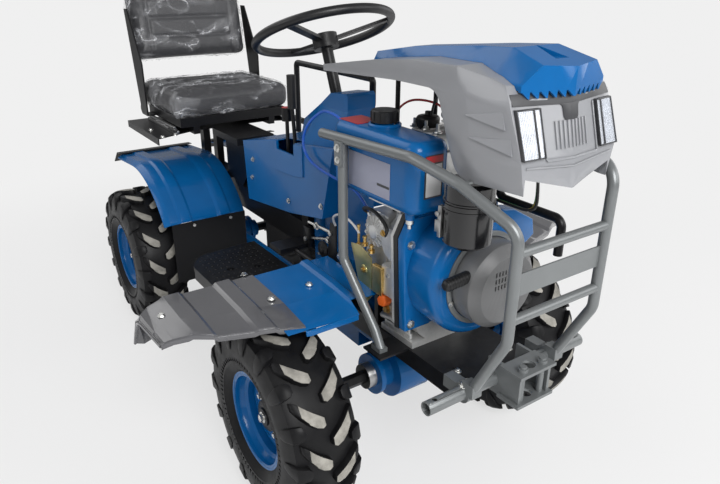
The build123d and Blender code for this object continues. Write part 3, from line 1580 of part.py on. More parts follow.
# Columns: name, axle place, half track, side.
wheels = [
    ("front_left", front_axle_x, front_track_half, 1),
    ("front_right", front_axle_x, front_track_half, -1),
    ("rear_left", rear_axle_x, rear_track_half, 1),
    ("rear_right", rear_axle_x, rear_track_half, -1),
]
tyre = make_tyre()
for name, place_x, track_half, side in wheels:
    turn = Rot(0, 0, 0 if side > 0 else 180)
    middle = Pos(place_x, side * track_half, axle_z)
    place = middle * turn
    parts[name + "_tyre"] = middle * tyre
    parts[name + "_rim"] = place * make_rim(track_half)

os.makedirs("parts", exist_ok=True)
for name, solid in parts.items():
    export_step(solid, "parts/" + name + ".step")
    print(name, len(solid.solids()))
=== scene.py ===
import bpy
import bmesh
import math
from mathutils import Matrix, Vector, noise


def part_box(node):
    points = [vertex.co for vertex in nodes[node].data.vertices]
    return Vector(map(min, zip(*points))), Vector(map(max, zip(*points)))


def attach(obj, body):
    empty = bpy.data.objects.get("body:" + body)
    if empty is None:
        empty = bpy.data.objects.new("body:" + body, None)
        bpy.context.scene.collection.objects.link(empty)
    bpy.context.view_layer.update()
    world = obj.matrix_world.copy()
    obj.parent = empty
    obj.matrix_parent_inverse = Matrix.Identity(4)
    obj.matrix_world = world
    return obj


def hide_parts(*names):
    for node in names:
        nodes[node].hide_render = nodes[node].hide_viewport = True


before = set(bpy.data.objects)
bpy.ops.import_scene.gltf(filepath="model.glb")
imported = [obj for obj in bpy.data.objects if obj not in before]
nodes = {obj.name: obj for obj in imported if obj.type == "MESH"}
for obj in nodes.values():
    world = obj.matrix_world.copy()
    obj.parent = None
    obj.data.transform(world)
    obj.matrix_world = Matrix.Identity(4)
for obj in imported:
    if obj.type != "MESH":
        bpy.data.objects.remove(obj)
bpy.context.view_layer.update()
print("frame loaded:", len(nodes), "nodes")


def placed(name, data):
    thing = bpy.data.objects.new(name, data)
    bpy.context.scene.collection.objects.link(thing)
    return thing


def evaluated(piece):
    # The mesh with the modifiers of the piece applied.
    return bpy.data.meshes.new_from_object(piece.evaluated_get(bpy.context.evaluated_depsgraph_get()))


def roundEdges(piece, width, segments, degrees):
    rounding = piece.modifiers.new("rounding", "BEVEL")
    rounding.width = width
    rounding.segments = segments
    rounding.limit_method = "ANGLE"
    rounding.angle_limit = math.radians(degrees)
    return rounding


# Places that more than one piece uses, in metres, in the frame of the tractor.
tractor = {
    "frontAxle": 0.54,
    "rearAxle": -0.721,
    "axleHeight": 0.28,
    "frontTrack": 0.41,
    "rearTrack": 0.38,
    "tyreRadius": 0.28,
}


# Node groups: each is built once and placed in the materials with their own values.

def newGroup(name, inputs, outputs):
    tree = bpy.data.node_groups.new(name, "ShaderNodeTree")
    for label, kind, default in inputs:
        socket = tree.interface.new_socket(label, in_out="INPUT", socket_type=kind)
        if default is not None:
            socket.default_value = default
    for label, kind in outputs:
        tree.interface.new_socket(label, in_out="OUTPUT", socket_type=kind)
    return tree, tree.nodes.new("NodeGroupInput"), tree.nodes.new("NodeGroupOutput")


def link(tree, source, output, target, socket):
    tree.links.new(source.outputs[output], target.inputs[socket])


def addNode(tree, kind, settings=None, values=None, feeds=()):
    # Columns of the feeds: source node, its output, the new node's socket.
    node = tree.nodes.new(kind)
    for key, value in (settings or {}).items():
        setattr(node, key, value)
    for key, value in (values or {}).items():
        node.inputs[key].default_value = value
    for source, output, socket in feeds:
        link(tree, source, output, node, socket)
    return node


def makePaintGroup():
    # Soft colour drift, fine dust on what faces up, and the orange peel of sprayed paint.
    tree, given, made = newGroup("paintCoat", [
        ("Colour", "NodeSocketColor", (0.5, 0.5, 0.5, 1)),
        ("Dust Colour", "NodeSocketColor", (0.2, 0.2, 0.2, 1)),
        ("Dust", "NodeSocketFloat", 0.1),
        ("Drift", "NodeSocketFloat", 0.06),
        ("Roughness", "NodeSocketFloat", 0.3),
        ("Peel", "NodeSocketFloat", 0.1),
    ], [("Colour", "NodeSocketColor"), ("Roughness", "NodeSocketFloat"), ("Normal", "NodeSocketVector")])
    place = addNode(tree, "ShaderNodeTexCoord")
    broad = addNode(tree, "ShaderNodeTexNoise", None, {"Scale": 7.0, "Detail": 3.0, "Roughness": 0.55})
    fine = addNode(tree, "ShaderNodeTexNoise", None, {"Scale": 420.0, "Detail": 1.0})
    speck = addNode(tree, "ShaderNodeTexNoise", None, {"Scale": 60.0, "Detail": 4.0, "Roughness": 0.7})
    for grain in (broad, fine, speck):
        link(tree, place, "Object", grain, "Vector")
    driftRange = addNode(tree, "ShaderNodeMapRange", None,
                         {"From Min": 0.3, "From Max": 0.7, "To Min": -1.0, "To Max": 1.0},
                         feeds=[(broad, "Fac", "Value")])
    driftAmount = addNode(tree, "ShaderNodeMath", {"operation": "MULTIPLY"},
                          feeds=[(driftRange, "Result", 0), (given, "Drift", 1)])
    brighter = addNode(tree, "ShaderNodeMath", {"operation": "ADD"}, {1: 1.0}, feeds=[(driftAmount, 0, 0)])
    shade = addNode(tree, "ShaderNodeHueSaturation",
                    feeds=[(given, "Colour", "Color"), (brighter, 0, "Value")])
    shape = addNode(tree, "ShaderNodeNewGeometry")
    upward = addNode(tree, "ShaderNodeSeparateXYZ", feeds=[(shape, "Normal", 0)])
    facing = addNode(tree, "ShaderNodeMapRange", None,
                     {"From Min": 0.1, "From Max": 1.0, "To Min": 0.1, "To Max": 1.0},
                     feeds=[(upward, "Z", "Value")])
    dustSpots = addNode(tree, "ShaderNodeMapRange", None,
                        {"From Min": 0.38, "From Max": 0.68, "To Min": 0.2, "To Max": 1.0},
                        feeds=[(speck, "Fac", "Value")])
    dustFacing = addNode(tree, "ShaderNodeMath", {"operation": "MULTIPLY"},
                         feeds=[(facing, "Result", 0), (dustSpots, "Result", 1)])
    dustAmount = addNode(tree, "ShaderNodeMath", {"operation": "MULTIPLY", "use_clamp": True},
                         feeds=[(dustFacing, 0, 0), (given, "Dust", 1)])
    mixed = addNode(tree, "ShaderNodeMix", {"data_type": "RGBA"},
                    feeds=[(dustAmount, 0, "Factor"), (shade, "Color", "A"), (given, "Dust Colour", "B")])
    dustRough = addNode(tree, "ShaderNodeMath", {"operation": "MULTIPLY_ADD"}, {1: 0.5},
                        feeds=[(dustAmount, 0, 0), (given, "Roughness", 2)])
    bump = addNode(tree, "ShaderNodeBump", None, {"Distance": 0.0004},
                   feeds=[(given, "Peel", "Strength"), (fine, "Fac", "Height")])
    link(tree, mixed, "Result", made, "Colour")
    link(tree, dustRough, 0, made, "Roughness")
    link(tree, bump, "Normal", made, "Normal")
    return tree


def makeGrainGroup():
    # Grain of castings, rubber and moulded plastic: mottled colour, roughness and bump.
    tree, given, made = newGroup("moldedGrain", [
        ("Colour", "NodeSocketColor", (0.5, 0.5, 0.5, 1)),
        ("Second Colour", "NodeSocketColor", (0.4, 0.4, 0.4, 1)),
        ("Scale", "NodeSocketFloat", 200.0),
        ("Mottle", "NodeSocketFloat", 0.4),
        ("Roughness", "NodeSocketFloat", 0.6),
        ("Depth", "NodeSocketFloat", 0.3),
    ], [("Colour", "NodeSocketColor"), ("Roughness", "NodeSocketFloat"), ("Normal", "NodeSocketVector")])
    place = addNode(tree, "ShaderNodeTexCoord")
    broad = addNode(tree, "ShaderNodeTexNoise", None, {"Scale": 22.0, "Detail": 5.0, "Roughness": 0.65})
    grain = addNode(tree, "ShaderNodeTexNoise", None, {"Detail": 3.0, "Roughness": 0.6})
    link(tree, place, "Object", broad, "Vector")
    link(tree, place, "Object", grain, "Vector")
    link(tree, given, "Scale", grain, "Scale")
    spots = addNode(tree, "ShaderNodeMapRange", None, {"From Min": 0.35, "From Max": 0.7},
                    feeds=[(broad, "Fac", "Value")])
    amount = addNode(tree, "ShaderNodeMath", {"operation": "MULTIPLY", "use_clamp": True},
                     feeds=[(spots, "Result", 0), (given, "Mottle", 1)])
    mixed = addNode(tree, "ShaderNodeMix", {"data_type": "RGBA"},
                    feeds=[(amount, 0, "Factor"), (given, "Colour", "A"), (given, "Second Colour", "B")])
    rough = addNode(tree, "ShaderNodeMath", {"operation": "MULTIPLY_ADD", "use_clamp": True}, {1: 0.15},
                    feeds=[(spots, "Result", 0), (given, "Roughness", 2)])
    bump = addNode(tree, "ShaderNodeBump", None, {"Distance": 0.0008},
                   feeds=[(given, "Depth", "Strength"), (grain, "Fac", "Height")])
    link(tree, mixed, "Result", made, "Colour")
    link(tree, rough, 0, made, "Roughness")
    link(tree, bump, "Normal", made, "Normal")
    return tree


paintCoat = makePaintGroup()
moldedGrain = makeGrainGroup()


def newMaterial(name, shaderValues):
    material = bpy.data.materials.new(name)
    material.use_nodes = True
    tree = material.node_tree
    shader = tree.nodes["Principled BSDF"]
    for key, value in shaderValues.items():
        shader.inputs[key].default_value = value
    return material, tree, shader


def makeMaterial(name, group, groupValues, shaderValues):
    material, tree, shader = newMaterial(name, shaderValues)
    coat = addNode(tree, "ShaderNodeGroup", {"node_tree": group}, groupValues)
    link(tree, coat, "Colour", shader, "Base Color")
    link(tree, coat, "Roughness", shader, "Roughness")
    link(tree, coat, "Normal", shader, "Normal")
    return material


def paint(colour, dust, drift, roughness, peel, **shaderValues):
    values = {"Colour": (*colour, 1), "Dust": dust, "Drift": drift, "Roughness": roughness, "Peel": peel}
    return paintCoat, values, {key.replace("_", " "): value for key, value in shaderValues.items()}


def molded(colour, second, scale, mottle, roughness, depth, **shaderValues):
    values = {"Colour": (*colour, 1), "Second Colour": (*second, 1), "Scale": scale, "Mottle": mottle,
              "Roughness": roughness, "Depth": depth}
    return moldedGrain, values, {key.replace("_", " "): value for key, value in shaderValues.items()}


# Finishes. Paint: colour, dust, drift, roughness, peel.
# Molded: two colours, grain scale, mottle, roughness, depth.
finishes = {
    "bluePaint": paint((0.002, 0.098, 0.30), 0.01, 0.08, 0.25, 0.1, Coat_Weight=0.2, Coat_Roughness=0.06,
                       Specular_IOR_Level=0.2),
    "blackPaint": paint((0.006, 0.006, 0.007), 0.05, 0.1, 0.34, 0.2, Specular_IOR_Level=0.25),
    "glossBlack": paint((0.004, 0.004, 0.005), 0.02, 0.05, 0.22, 0.05, Coat_Weight=0.3,
                        Coat_Roughness=0.06),
    "greyPaint": paint((0.165, 0.175, 0.178), 0.06, 0.05, 0.32, 0.12, Metallic=0.35),
    "hoodGrey": paint((0.24, 0.245, 0.26), 0.03, 0.03, 0.3, 0.06, Coat_Weight=0.3, Coat_Roughness=0.12),
    "fenderGrey": paint((0.085, 0.085, 0.092), 0.04, 0.05, 0.22, 0.06, Coat_Weight=0.6,
                        Coat_Roughness=0.08),
    "trimDark": paint((0.035, 0.036, 0.04), 0.05, 0.05, 0.4, 0.1),
    "plateGrey": paint((0.27, 0.28, 0.36), 0.03, 0.02, 0.35, 0.03),
    "plateRed": paint((0.42, 0.02, 0.025), 0.03, 0.02, 0.35, 0.03),
    "plateWhite": paint((0.62, 0.62, 0.62), 0.03, 0.02, 0.35, 0.03),
    "orangeCap": molded((0.95, 0.17, 0.02), (0.8, 0.12, 0.015), 300.0, 0.3, 0.4, 0.2),
    "redGrip": molded((0.55, 0.012, 0.012), (0.4, 0.01, 0.01), 300.0, 0.3, 0.3, 0.1),
    "bareCasting": molded((0.72, 0.72, 0.71), (0.38, 0.38, 0.37), 260.0, 0.5, 0.3, 0.6, Metallic=0.6),
    "zinc": molded((0.72, 0.72, 0.7), (0.5, 0.5, 0.48), 500.0, 0.5, 0.22, 0.15, Metallic=1.0),
    "steel": molded((0.45, 0.45, 0.45), (0.25, 0.25, 0.25), 400.0, 0.5, 0.28, 0.2, Metallic=1.0),
    "brass": molded((0.75, 0.52, 0.2), (0.5, 0.32, 0.1), 400.0, 0.5, 0.25, 0.2, Metallic=1.0),
    "olivePlate": molded((0.42, 0.4, 0.16), (0.55, 0.45, 0.3), 90.0, 0.8, 0.28, 0.15, Metallic=0.9),
    "rubber": molded((0.007, 0.007, 0.008), (0.014, 0.014, 0.014), 320.0, 0.5, 0.36, 0.2,
                     Specular_IOR_Level=0.16),
    "dustyTread": molded((0.34, 0.325, 0.29), (0.07, 0.068, 0.06), 240.0, 0.7, 0.8, 0.5),
    "gripPlastic": molded((0.008, 0.008, 0.009), (0.015, 0.015, 0.015), 500.0, 0.3, 0.34, 0.2,
                          Specular_IOR_Level=0.4),
    "recoilGrey": molded((0.13, 0.132, 0.135), (0.16, 0.16, 0.16), 300.0, 0.3, 0.3, 0.2),
    "seatVinyl": molded((0.016, 0.016, 0.019), (0.03, 0.03, 0.034), 380.0, 0.4, 0.36, 0.3,
                        Specular_IOR_Level=0.4),
    "cableBlue": molded((0.01, 0.1, 0.5), (0.01, 0.07, 0.35), 500.0, 0.3, 0.3, 0.1),
    "wireRed": molded((0.45, 0.015, 0.012), (0.3, 0.01, 0.01), 500.0, 0.3, 0.35, 0.1),
    "wireYellow": molded((0.6, 0.42, 0.03), (0.5, 0.3, 0.02), 500.0, 0.3, 0.35, 0.1),
    "wireGreen": molded((0.02, 0.25, 0.05), (0.02, 0.2, 0.04), 500.0, 0.3, 0.35, 0.1),
    "wireBlack": molded((0.01, 0.01, 0.01), (0.02, 0.02, 0.02), 500.0, 0.3, 0.35, 0.1),
    "reflector": molded((0.62, 0.65, 0.7), (0.36, 0.37, 0.4), 300.0, 0.6, 0.2, 0.6, Metallic=0.5),
}
materials = {name: makeMaterial(name, *values) for name, values in finishes.items()}


def makeFilmGroup():
    # Streaks and patches where thin wrapping catches the light, and the folds that carry them.
    tree, given, made = newGroup("filmStreaks", [
        ("Scale", "NodeSocketFloat", 10.0),
        ("Sharpness", "NodeSocketFloat", 15.0),
        ("Clear", "NodeSocketFloat", 0.05),
        ("Streaks", "NodeSocketFloat", 0.95),
        ("Patches", "NodeSocketFloat", 0.2),
    ], [("Alpha", "NodeSocketFloat"), ("Normal", "NodeSocketVector")])
    place = addNode(tree, "ShaderNodeTexCoord")
    stretched = addNode(tree, "ShaderNodeVectorMath", {"operation": "MULTIPLY"}, {1: (1.6, 0.7, 1.1)},
                        feeds=[(place, "Object", 0)])
    folds = addNode(tree, "ShaderNodeTexNoise", None, {"Detail": 3.0, "Roughness": 0.5, "Distortion": 1.8})
    broad = addNode(tree, "ShaderNodeTexNoise", None, {"Detail": 2.0, "Distortion": 0.8})
    for grain in (folds, broad):
        link(tree, stretched, 0, grain, "Vector")
        link(tree, given, "Scale", grain, "Scale")
    centred = addNode(tree, "ShaderNodeMath", {"operation": "SUBTRACT"}, {1: 0.5},
                      feeds=[(folds, "Fac", 0)])
    away = addNode(tree, "ShaderNodeMath", {"operation": "ABSOLUTE"}, feeds=[(centred, 0, 0)])
    steep = addNode(tree, "ShaderNodeMath", {"operation": "MULTIPLY"},
                    feeds=[(away, 0, 0), (given, "Sharpness", 1)])
    ridge = addNode(tree, "ShaderNodeMath", {"operation": "SUBTRACT", "use_clamp": True}, {0: 1.0},
                    feeds=[(steep, 0, 1)])
    thin = addNode(tree, "ShaderNodeMath", {"operation": "POWER"}, {1: 2.2}, feeds=[(ridge, 0, 0)])
    patch = addNode(tree, "ShaderNodeMapRange", None, {"From Min": 0.5, "From Max": 0.72},
                    feeds=[(broad, "Fac", "Value")])
    lit = addNode(tree, "ShaderNodeMath", {"operation": "MULTIPLY"},
                  feeds=[(thin, 0, 0), (patch, "Result", 1)])
    streaks = addNode(tree, "ShaderNodeMath", {"operation": "MULTIPLY_ADD"},
                      feeds=[(lit, 0, 0), (given, "Streaks", 1), (given, "Clear", 2)])
    whole = addNode(tree, "ShaderNodeMath", {"operation": "MULTIPLY_ADD", "use_clamp": True},
                    feeds=[(patch, "Result", 0), (given, "Patches", 1), (streaks, 0, 2)])
    bump = addNode(tree, "ShaderNodeBump", None, {"Strength": 0.9, "Distance": 0.012},
                   feeds=[(folds, "Fac", "Height")])
    link(tree, whole, 0, made, "Alpha")
    link(tree, bump, "Normal", made, "Normal")
    return tree


def makeFilm():
    material, tree, shader = newMaterial("clearFilm", {"Base Color": (0.72, 0.73, 0.76, 1),
                                                       "Roughness": 0.16, "IOR": 1.5})
    streaks = addNode(tree, "ShaderNodeGroup", {"node_tree": makeFilmGroup()})
    link(tree, streaks, "Alpha", shader, "Alpha")
    link(tree, streaks, "Normal", shader, "Normal")
    return material


materials["clearFilm"] = makeFilm()


def finish(piece, name):
    piece.data.materials.clear()
    piece.data.materials.append(materials[name])
    return piece


# The finish of each node that stays as it is.
nodeFinish = {
    "chassis_frame": "blackPaint", "step_frames": "blackPaint", "fender_bars": "blackPaint",
    "bumper_tube": "greyPaint", "bull_bar": "greyPaint",
    "hitch_bracket": "greyPaint", "front_axle_case": "bluePaint", "engine_crankcase": "bareCasting",
    "engine_head": "bareCasting", "fan_shroud": "bluePaint", "recoil_starter": "recoilGrey",
    "fuel_tank": "bluePaint", "tank_cap": "gripPlastic", "air_cleaner": "glossBlack",
    "muffler": "blackPaint", "gear_case": "bluePaint", "gear_cover": "bluePaint", "dash_box": "bluePaint",
    "steering_column": "blackPaint", "control_levers": "blackPaint", "foot_pedals": "blackPaint",
    "grab_rail": "blackPaint", "hood_shell": "hoodGrey", "hood_top": "bluePaint", "headlamps": "reflector",
    "footplates": "blackPaint", "front_fenders_inner": "bluePaint", "front_fenders_outer": "fenderGrey",
    "steering_wheel": "gripPlastic", "rear_beam": "blackPaint", "rear_axle_case": "bluePaint",
    "rear_fenders": "bluePaint", "mud_flaps": "blackPaint", "seat_frame": "blackPaint",
    "seat_cushion": "seatVinyl", "seat_back": "seatVinyl", "rear_hitch": "blackPaint",
}
wheelNames = ("front_left", "front_right", "rear_left", "rear_right")
for wheelName in wheelNames:
    nodeFinish[wheelName + "_tyre"] = "rubber"
    nodeFinish[wheelName + "_rim"] = "bluePaint"
for nodeName, finishName in nodeFinish.items():
    finish(nodes[nodeName], finishName)


# Bevels that catch the light along the edges of sheet and castings. Columns: node, width.
edgeRounds = [
    ("chassis_frame", 0.0012), ("fender_bars", 0.001), ("step_frames", 0.001), ("hitch_bracket", 0.0014),
    ("engine_crankcase", 0.003), ("engine_head", 0.0008), ("fan_shroud", 0.002),
    ("gear_cover", 0.0012), ("dash_box", 0.003), ("hood_shell", 0.0016),
    ("hood_top", 0.0014), ("footplates", 0.0015), ("seat_frame", 0.001),
    ("rear_hitch", 0.001), ("mud_flaps", 0.001), ("foot_pedals", 0.0015), ("front_axle_case", 0.002),
    ("rear_axle_case", 0.002), ("bumper_tube", 0.0008), ("rear_fenders", 0.0008),
    ("front_fenders_inner", 0.0008), ("front_fenders_outer", 0.0008),
]
for nodeName, width in edgeRounds:
    piece = nodes[nodeName]
    weld = piece.modifiers.new("weld", "WELD")
    weld.merge_threshold = 0.00002
    roundEdges(piece, width, 2, 28).harden_normals = True
print("finishes set")


# Mesh helpers.

def newPiece(name, mesh, finishName, smooth=True):
    piece = placed(name, mesh)
    mesh.materials.clear()
    mesh.materials.append(materials[finishName])
    if smooth:
        for face in mesh.polygons:
            face.use_smooth = True
        mesh.set_sharp_from_angle(angle=math.radians(38))
    return piece


def meshOf(build, mend=True):
    # A mesh from a function that fills a bmesh, with its doubles merged and its normals outward.
    shape = bmesh.new()
    build(shape)
    if mend:
        bmesh.ops.remove_doubles(shape, verts=shape.verts, dist=0.00001)
        bmesh.ops.recalc_face_normals(shape, faces=shape.faces)
    mesh = bpy.data.meshes.new("shape")
    shape.to_mesh(mesh)
    shape.free()
    return mesh


def addPrism(shape, outline, low, high, place=Matrix()):
    # A closed prism: the outline in the local X and Y, from low to high in Z.
    bottom = [shape.verts.new(place @ Vector((x, y, low))) for x, y in outline]
    top = [shape.verts.new(place @ Vector((x, y, high))) for x, y in outline]
    shape.faces.new(bottom[::-1])
    shape.faces.new(top)
    count = len(outline)
    for index in range(count):
        after = (index + 1) % count
        shape.faces.new((bottom[index], bottom[after], top[after], top[index]))


def addBox(shape, low, high, place=Matrix()):
    outline = [(low[0], low[1]), (high[0], low[1]), (high[0], high[1]), (low[0], high[1])]
    addPrism(shape, outline, low[2], high[2], place)


def addTurned(shape, profile, segments, place=Matrix()):
    # A turned shape about the local Z from pairs of radius and height, closed where the radius is zero.
    rings = []
    for radius, height in profile:
        if radius < 1e-6:
            rings.append([shape.verts.new(place @ Vector((0, 0, height)))])
            continue
        ring = []
        for index in range(segments):
            angle = 2 * math.pi * index / segments
            ring.append(shape.verts.new(place @ Vector((radius * math.cos(angle), radius * math.sin(angle),
                                                        height))))
        rings.append(ring)
    for lower, upper in zip(rings, rings[1:]):
        for index in range(segments):
            after = (index + 1) % segments
            corners = [lower[index % len(lower)], lower[after % len(lower)],
                       upper[after % len(upper)], upper[index % len(upper)]]
            corners = list(dict.fromkeys(corners))
            if len(corners) > 2:
                shape.faces.new(corners)


def aimed(place, direction, spin=0.0):
    # A matrix that puts the local Z along the direction, at the place.
    turn = Vector(direction).to_track_quat("Z", "Y").to_matrix().to_4x4()
    return Matrix.Translation(Vector(place)) @ turn @ Matrix.Rotation(spin, 4, "Z")


def hexOutline(radius):
    return [(radius * math.cos(math.radians(60 * step)), radius * math.sin(math.radians(60 * step)))
            for step in range(6)]


def addScrew(shape, place, direction, radius, spin=0.3):
    # Washer, hexagonal head with a small dome, about the local Z.
    matrix = aimed(place, direction, spin)
    addTurned(shape, [(0, 0), (radius * 1.5, 0), (radius * 1.5, radius * 0.22), (0, radius * 0.22)], 20,
              matrix)
    addPrism(shape, hexOutline(radius), radius * 0.2, radius * 0.95, matrix)
    addTurned(shape, [(radius * 0.78, radius * 0.95), (radius * 0.7, radius * 1.05), (0, radius * 1.08)],
              14, matrix)


def makeRepeatTree():
    # Copies of a piece, each moved and turned by a step from the last.
    tree = bpy.data.node_groups.new("repeatPiece", "GeometryNodeTree")
    sockets = [("Geometry", "NodeSocketGeometry"), ("Count", "NodeSocketInt"), ("Move", "NodeSocketVector"),
               ("Turn", "NodeSocketVector"), ("Material", "NodeSocketMaterial")]
    for label, kind in sockets:
        tree.interface.new_socket(label, in_out="INPUT", socket_type=kind)
    tree.interface.new_socket("Geometry", in_out="OUTPUT", socket_type="NodeSocketGeometry")
    given = tree.nodes.new("NodeGroupInput")
    made = tree.nodes.new("NodeGroupOutput")
    index = tree.nodes.new("GeometryNodeInputIndex")
    move = addNode(tree, "ShaderNodeVectorMath", {"operation": "SCALE"})
    turn = addNode(tree, "ShaderNodeVectorMath", {"operation": "SCALE"})
    for step, label in ((move, "Move"), (turn, "Turn")):
        link(tree, given, label, step, 0)
        link(tree, index, 0, step, "Scale")
    points = tree.nodes.new("GeometryNodePoints")
    link(tree, given, "Count", points, "Count")
    link(tree, move, 0, points, "Position")
    rotation = tree.nodes.new("FunctionNodeEulerToRotation")
    link(tree, turn, 0, rotation, 0)
    copies = tree.nodes.new("GeometryNodeInstanceOnPoints")
    link(tree, points, 0, copies, "Points")
    link(tree, given, "Geometry", copies, "Instance")
    link(tree, rotation, 0, copies, "Rotation")
    real = tree.nodes.new("GeometryNodeRealizeInstances")
    link(tree, copies, 0, real, 0)
    coated = tree.nodes.new("GeometryNodeSetMaterial")
    link(tree, real, 0, coated, "Geometry")
    link(tree, given, "Material", coated, "Material")
    link(tree, coated, 0, made, 0)
    return tree


repeatTree = makeRepeatTree()


def socketName(tree, label):
    return next(item.identifier for item in tree.interface.items_tree
                if item.item_type == "SOCKET" and item.in_out == "INPUT" and item.name == label)


def repeated(name, mesh, finishName, count, move=(0, 0, 0), turn=(0, 0, 0), place=Matrix(), smooth=True):
    # The copies as one plain mesh, set in their place.
    seed = newPiece(name + "_seed", mesh, finishName, smooth)
    modifier = seed.modifiers.new("repeat", "NODES")
    modifier.node_group = repeatTree
    for label, value in (("Count", count), ("Move", move), ("Turn", turn),
                         ("Material", materials[finishName])):
        modifier[socketName(repeatTree, label)] = value
    grown = evaluated(seed)
    bpy.data.objects.remove(seed)
    grown.transform(place)
    grown.name = name
    piece = placed(name, grown)
    return piece


def joined(name, pieces):
    # Several pieces as one, which keeps each one's material.
    with bpy.context.temp_override(active_object=pieces[0], selected_editable_objects=pieces,
                                   selected_objects=pieces, object=pieces[0]):
        bpy.ops.object.join()
    pieces[0].name = name
    return pieces[0]


def tubeMesh(points, radius, sides=10):
    # A round tube along a smooth curve through given points.
    curve = bpy.data.curves.new("route", "CURVE")
    curve.dimensions = "3D"
    curve.bevel_depth = radius
    curve.bevel_resolution = max(1, sides // 4)
    curve.use_fill_caps = True
    spline = curve.splines.new("NURBS")
    spline.points.add(len(points) - 1)
    for point, place in zip(spline.points, points):
        point.co = (*place, 1)
    spline.order_u = 3
    spline.use_endpoint_u = True
    spline.resolution_u = 8
    holder = placed("route", curve)
    mesh = evaluated(holder)
    bpy.data.objects.remove(holder)
    bpy.data.curves.remove(curve)
    return mesh


def wire(name, points, radius, finishName, body="front_half"):
    piece = newPiece(name, tubeMesh(points, radius), finishName)
    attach(piece, body)
    return piece


# Tyres: casing with a rounded shoulder and rim bead, lugs in two rows and shoulder blocks between them.
tyre = {
    "lugCount": 16,
    "lugHeight": 0.018,
    "crownHalf": 0.034,
    "shoulderHalf": 0.084,
    "bulgeHalf": 0.096,
    "bulgeRadius": 0.186,
    "beadRadius": 0.129,
    "beadHalf": 0.074,
    "sideY": 0.0945,
    "lean": 0.026,
    "ringRadius": 0.162,
}


def makeCasing(shape):
    low = tractor["tyreRadius"] - tyre["lugHeight"]
    half = [(tyre["beadRadius"], tyre["beadHalf"] - 0.012), (tyre["beadRadius"] + 0.002, tyre["beadHalf"]),
            (tyre["beadRadius"] + 0.010, tyre["beadHalf"] + 0.004),
            (tyre["beadRadius"] + 0.014, tyre["beadHalf"] + 0.010),
            (tyre["ringRadius"] - 0.004, tyre["bulgeHalf"] - 0.006),
            (tyre["ringRadius"], tyre["bulgeHalf"] - 0.002),
            (tyre["ringRadius"] + 0.005, tyre["bulgeHalf"] - 0.002),
            (tyre["ringRadius"] + 0.008, tyre["bulgeHalf"] - 0.003),
            (tyre["bulgeRadius"], tyre["bulgeHalf"]),
            (tyre["bulgeRadius"] + 0.022, tyre["bulgeHalf"] - 0.001),
            (low - 0.030, tyre["bulgeHalf"] - 0.005), (low - 0.014, tyre["shoulderHalf"] + 0.003),
            (low - 0.006, tyre["shoulderHalf"] - 0.012), (low - 0.001, tyre["crownHalf"]), (low, 0)]
    profile = half + [(radius, -y) for radius, y in half[-2::-1]]
    turn = Matrix.Rotation(math.radians(-90), 4, "X")
    addTurned(shape, profile, 96, turn)


def addLoft(shape, rungs):
    # A closed solid through rows of four corners.
    rows = [[shape.verts.new(corner) for corner in rung] for rung in rungs]
    shape.faces.new(rows[0][::-1])
    shape.faces.new(rows[-1])
    for near, far in zip(rows, rows[1:]):
        for index in range(4):
            after = (index + 1) % 4
            shape.faces.new((near[index], near[after], far[after], far[index]))


def onTyre(y, shift, radius):
    # A point at the top of the wheel, moved along the tread, which curves with the wheel.
    angle = shift / tractor["tyreRadius"]
    return Vector((radius * math.sin(angle), y, radius * math.cos(angle)))


def makeLug(side):
    # One lug of a row: its inner end leads, and it bends down over the shoulder.
    def build(shape):
        radius = tractor["tyreRadius"]
        low = radius - tyre["lugHeight"] - 0.006
        lean = tyre["lean"]
        # Columns: Y place, middle, half width at the top, top radius, root radius.
        stations = [
            (0.004, lean * 1.15, 0.0085, radius - 0.001, low),
            (0.014, lean * 1.1, 0.0155, radius, low),
            (0.030, lean * 0.75, 0.0185, radius, low),
            (0.046, lean * 0.2, 0.0185, radius - 0.001, low - 0.001),
            (0.060, -lean * 0.45, 0.0165, radius - 0.003, low - 0.003),
            (0.070, -lean * 0.95, 0.0125, radius - 0.006, low - 0.006),
            (0.075, -lean * 1.2, 0.009, radius - 0.010, low - 0.010),
        ]
        rungs = []
        for y, middle, half, top, root in stations:
            spread = 0.004
            rungs.append([onTyre(side * y, middle - half - spread, root),
                          onTyre(side * y, middle + half + spread, root),
                          onTyre(side * y, middle + half, top), onTyre(side * y, middle - half, top)])
        addLoft(shape, rungs)
    return build


def makeStub(side):
    # Short block of the shoulder between two lugs, and the small step that ties it to the tread's middle.
    def build(shape):
        radius = tractor["tyreRadius"]
        low = radius - tyre["lugHeight"] - 0.008
        rungs = []
        # Columns: Y place, half width, top radius, root radius.
        stations = [
            (0.058, 0.009, radius - 0.005, low),
            (0.066, 0.017, radius - 0.006, low - 0.003),
            (0.080, 0.020, radius - 0.011, low - 0.010),
            (tyre["sideY"] - 0.004, 0.020, radius - 0.020, low - 0.018),
            (tyre["sideY"] + 0.0015, 0.017, radius - 0.040, low - 0.034),
            (tyre["sideY"] + 0.0025, 0.010, radius - 0.062, low - 0.052),
        ]
        for y, half, top, root in stations:
            rungs.append([onTyre(side * y, -half - 0.002, root), onTyre(side * y, half + 0.002, root),
                          onTyre(side * y, half, top), onTyre(side * y, -half, top)])
        addLoft(shape, rungs)
    return build


def makeSideRib(side):
    # Fine radial ribs on the sidewall.
    def build(shape):
        place = Matrix.Translation((0, side * (tyre["bulgeHalf"] - 0.002), 0))
        addBox(shape, (-0.0012, -0.0015, tyre["ringRadius"] + 0.008),
               (0.0012, 0.0022, tyre["bulgeRadius"] + 0.008), place)
    return build


def softened(piece, width, segments=2):
    # The piece with its edges rounded, as a plain mesh.
    roundEdges(piece, width, segments, 30)
    mesh = evaluated(piece)
    mesh.name = piece.name
    piece.modifiers.clear()
    piece.data = mesh
    return piece


